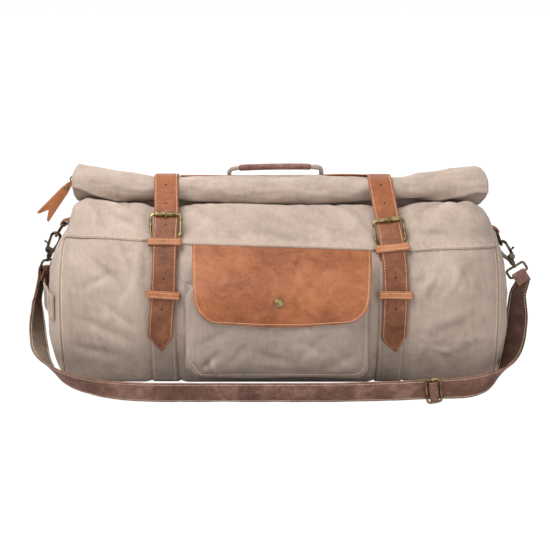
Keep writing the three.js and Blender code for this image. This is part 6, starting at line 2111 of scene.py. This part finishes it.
def finish_tree(tree, points, instance, rotation, finish, smooth):
    """Sets an instance on every point, as plain mesh with a finish, and hands it out."""
    placing = {"Points": points, "Instance": instance, "Rotation": rotation}
    shape = add_node(tree, "GeometryNodeInstanceOnPoints", placing).outputs["Instances"]
    shape = add_node(tree, "GeometryNodeRealizeInstances", {"Geometry": shape}).outputs["Geometry"]
    if smooth:
        shape = add_node(tree, "GeometryNodeSetShadeSmooth", {"Geometry": shape}).outputs["Geometry"]
    shape = add_node(
        tree, "GeometryNodeSetMaterial", {"Geometry": shape, "Material": finish},
    ).outputs["Geometry"]
    add_node(tree, "NodeGroupOutput", {"Geometry": shape})
    return tree


def stitch_tree():
    """Lines in, sewn thread out."""
    tree, given = new_tree("sewn_row", [
        ("Spacing", NUMBER, STITCH["spacing"] * MM), ("Length", NUMBER, STITCH["length"] * MM),
        ("Thickness", NUMBER, STITCH["thick"] * MM), ("Slant", NUMBER, STITCH["slant"]),
        ("Seed", "NodeSocketInt", 7), ("Thread", FINISH, None),
    ])
    curve = add_node(tree, "GeometryNodeMeshToCurve", {"Mesh": given["Geometry"]}).outputs["Curve"]
    read = add_node(
        tree, "GeometryNodeResampleCurve", {"Curve": curve, "Length": given["Spacing"]}, mode="LENGTH",
    )
    grain = add_node(
        tree, "GeometryNodeMeshUVSphere", {"Segments": 6, "Rings": 5, "Radius": 0.5},
    ).outputs["Mesh"]
    size = {"X": given["Thickness"], "Y": given["Thickness"], "Z": given["Length"]}
    size = add_node(tree, "ShaderNodeCombineXYZ", size).outputs["Vector"]
    shaped = add_node(tree, "GeometryNodeTransform", {"Geometry": grain, "Scale": size}).outputs["Geometry"]
    along = facing(tree, add_node(tree, "GeometryNodeInputTangent").outputs["Tangent"])
    least = math_node(tree, "MULTIPLY", given["Slant"], -1)
    slants = {"Min": least, "Max": given["Slant"], "Seed": given["Seed"]}
    slant = add_node(tree, "FunctionNodeRandomValue", slants, data_type="FLOAT_VECTOR").outputs["Value"]
    slant = add_node(tree, "FunctionNodeEulerToRotation", {"Euler": slant}).outputs["Rotation"]
    turns = {"Rotation": along, "Rotate By": slant}
    turned_by = add_node(
        tree, "FunctionNodeRotateRotation", turns, rotation_space="LOCAL",
    ).outputs["Rotation"]
    return finish_tree(tree, read.outputs["Curve"], shaped, turned_by, given["Thread"], True)


def hole_tree():
    """Points with a direction in, dark discs out."""
    tree, given = new_tree(
        "punched_holes", [("Radius", NUMBER, HOLES["radius"] * MM), ("Dark", FINISH, None)],
    )
    disc = add_node(
        tree, "GeometryNodeMeshCircle", {"Vertices": 16, "Radius": given["Radius"]}, fill_type="NGON",
    )
    out = add_node(tree, "GeometryNodeInputNamedAttribute", {"Name": "out"}, data_type="FLOAT_VECTOR")
    rotation = facing(tree, out.outputs["Attribute"])
    return finish_tree(tree, given["Geometry"], disc.outputs["Mesh"], rotation, given["Dark"], False)


def grown(name, source, tree, settings):
    """The plain mesh that a tree makes from a source mesh."""
    carrier = bpy.data.objects.new(name, source)
    scene.collection.objects.link(carrier)
    modifier = carrier.modifiers.new("tree", "NODES")
    modifier.node_group = tree
    for item in tree.interface.items_tree:
        if item.item_type == "SOCKET" and item.name in settings:
            modifier[item.identifier] = settings[item.name]
    graph = bpy.context.evaluated_depsgraph_get()
    mesh = bpy.data.meshes.new_from_object(carrier.evaluated_get(graph), depsgraph=graph)
    carrier.modifiers.remove(modifier)
    carrier.data = mesh
    mesh.name = name
    return place_on(carrier, [])


# %% Thread
def line_mesh(name, lines):
    """Lines as a mesh of edges."""
    points, edges = [], []
    for line in lines:
        first = len(points)
        points += (np.asarray(line) * MM).tolist()
        edges += [(first + i, first + i + 1) for i in range(len(line) - 1)]
    mesh = bpy.data.meshes.new(name)
    mesh.from_pydata(points, edges, [])
    return mesh


sewn_row = stitch_tree()
for tint, thread_finish, seed in (("peach", THREAD_PEACH, 3), ("cream", THREAD_CREAM, 5)):
    lines = line_mesh(f"lines_{tint}", stitch_lines[tint])
    sewn = grown(f"stitches_{tint}", lines, sewn_row, {"Thread": thread_finish, "Seed": seed})
    print("stitches", tint, len(sewn.data.polygons), "faces")

# %% Holes
hole_points, hole_facing = [], []
for line, made in zip(hole_lines, strap_frames.values()):
    run = along_path(line)
    top = int(np.argmax(line[:, 2]))
    first = float(np.interp(-HOLES["first"], -line[top:, 2], run[top:]))
    places = first + np.array(HOLES["further"])
    on_face, middle = read_rows(places, run, line), read_rows(places, run, made["path"])
    hole_facing.append(unit(on_face - middle))
    hole_points.append(on_face + hole_facing[-1] * HOLES["off"])
hole_mesh = line_mesh("hole_points", [])
hole_mesh.from_pydata((np.vstack(hole_points) * MM).tolist(), [], [])
hole_out = hole_mesh.attributes.new("out", "FLOAT_VECTOR", "POINT")
hole_out.data.foreach_set("vector", np.vstack(hole_facing).astype(np.float32).ravel())
holes = grown("punched_holes", hole_mesh, hole_tree(), {"Radius": HOLES["radius"] * MM, "Dark": HOLE_SHADE})
print("holes:", len(holes.data.polygons))
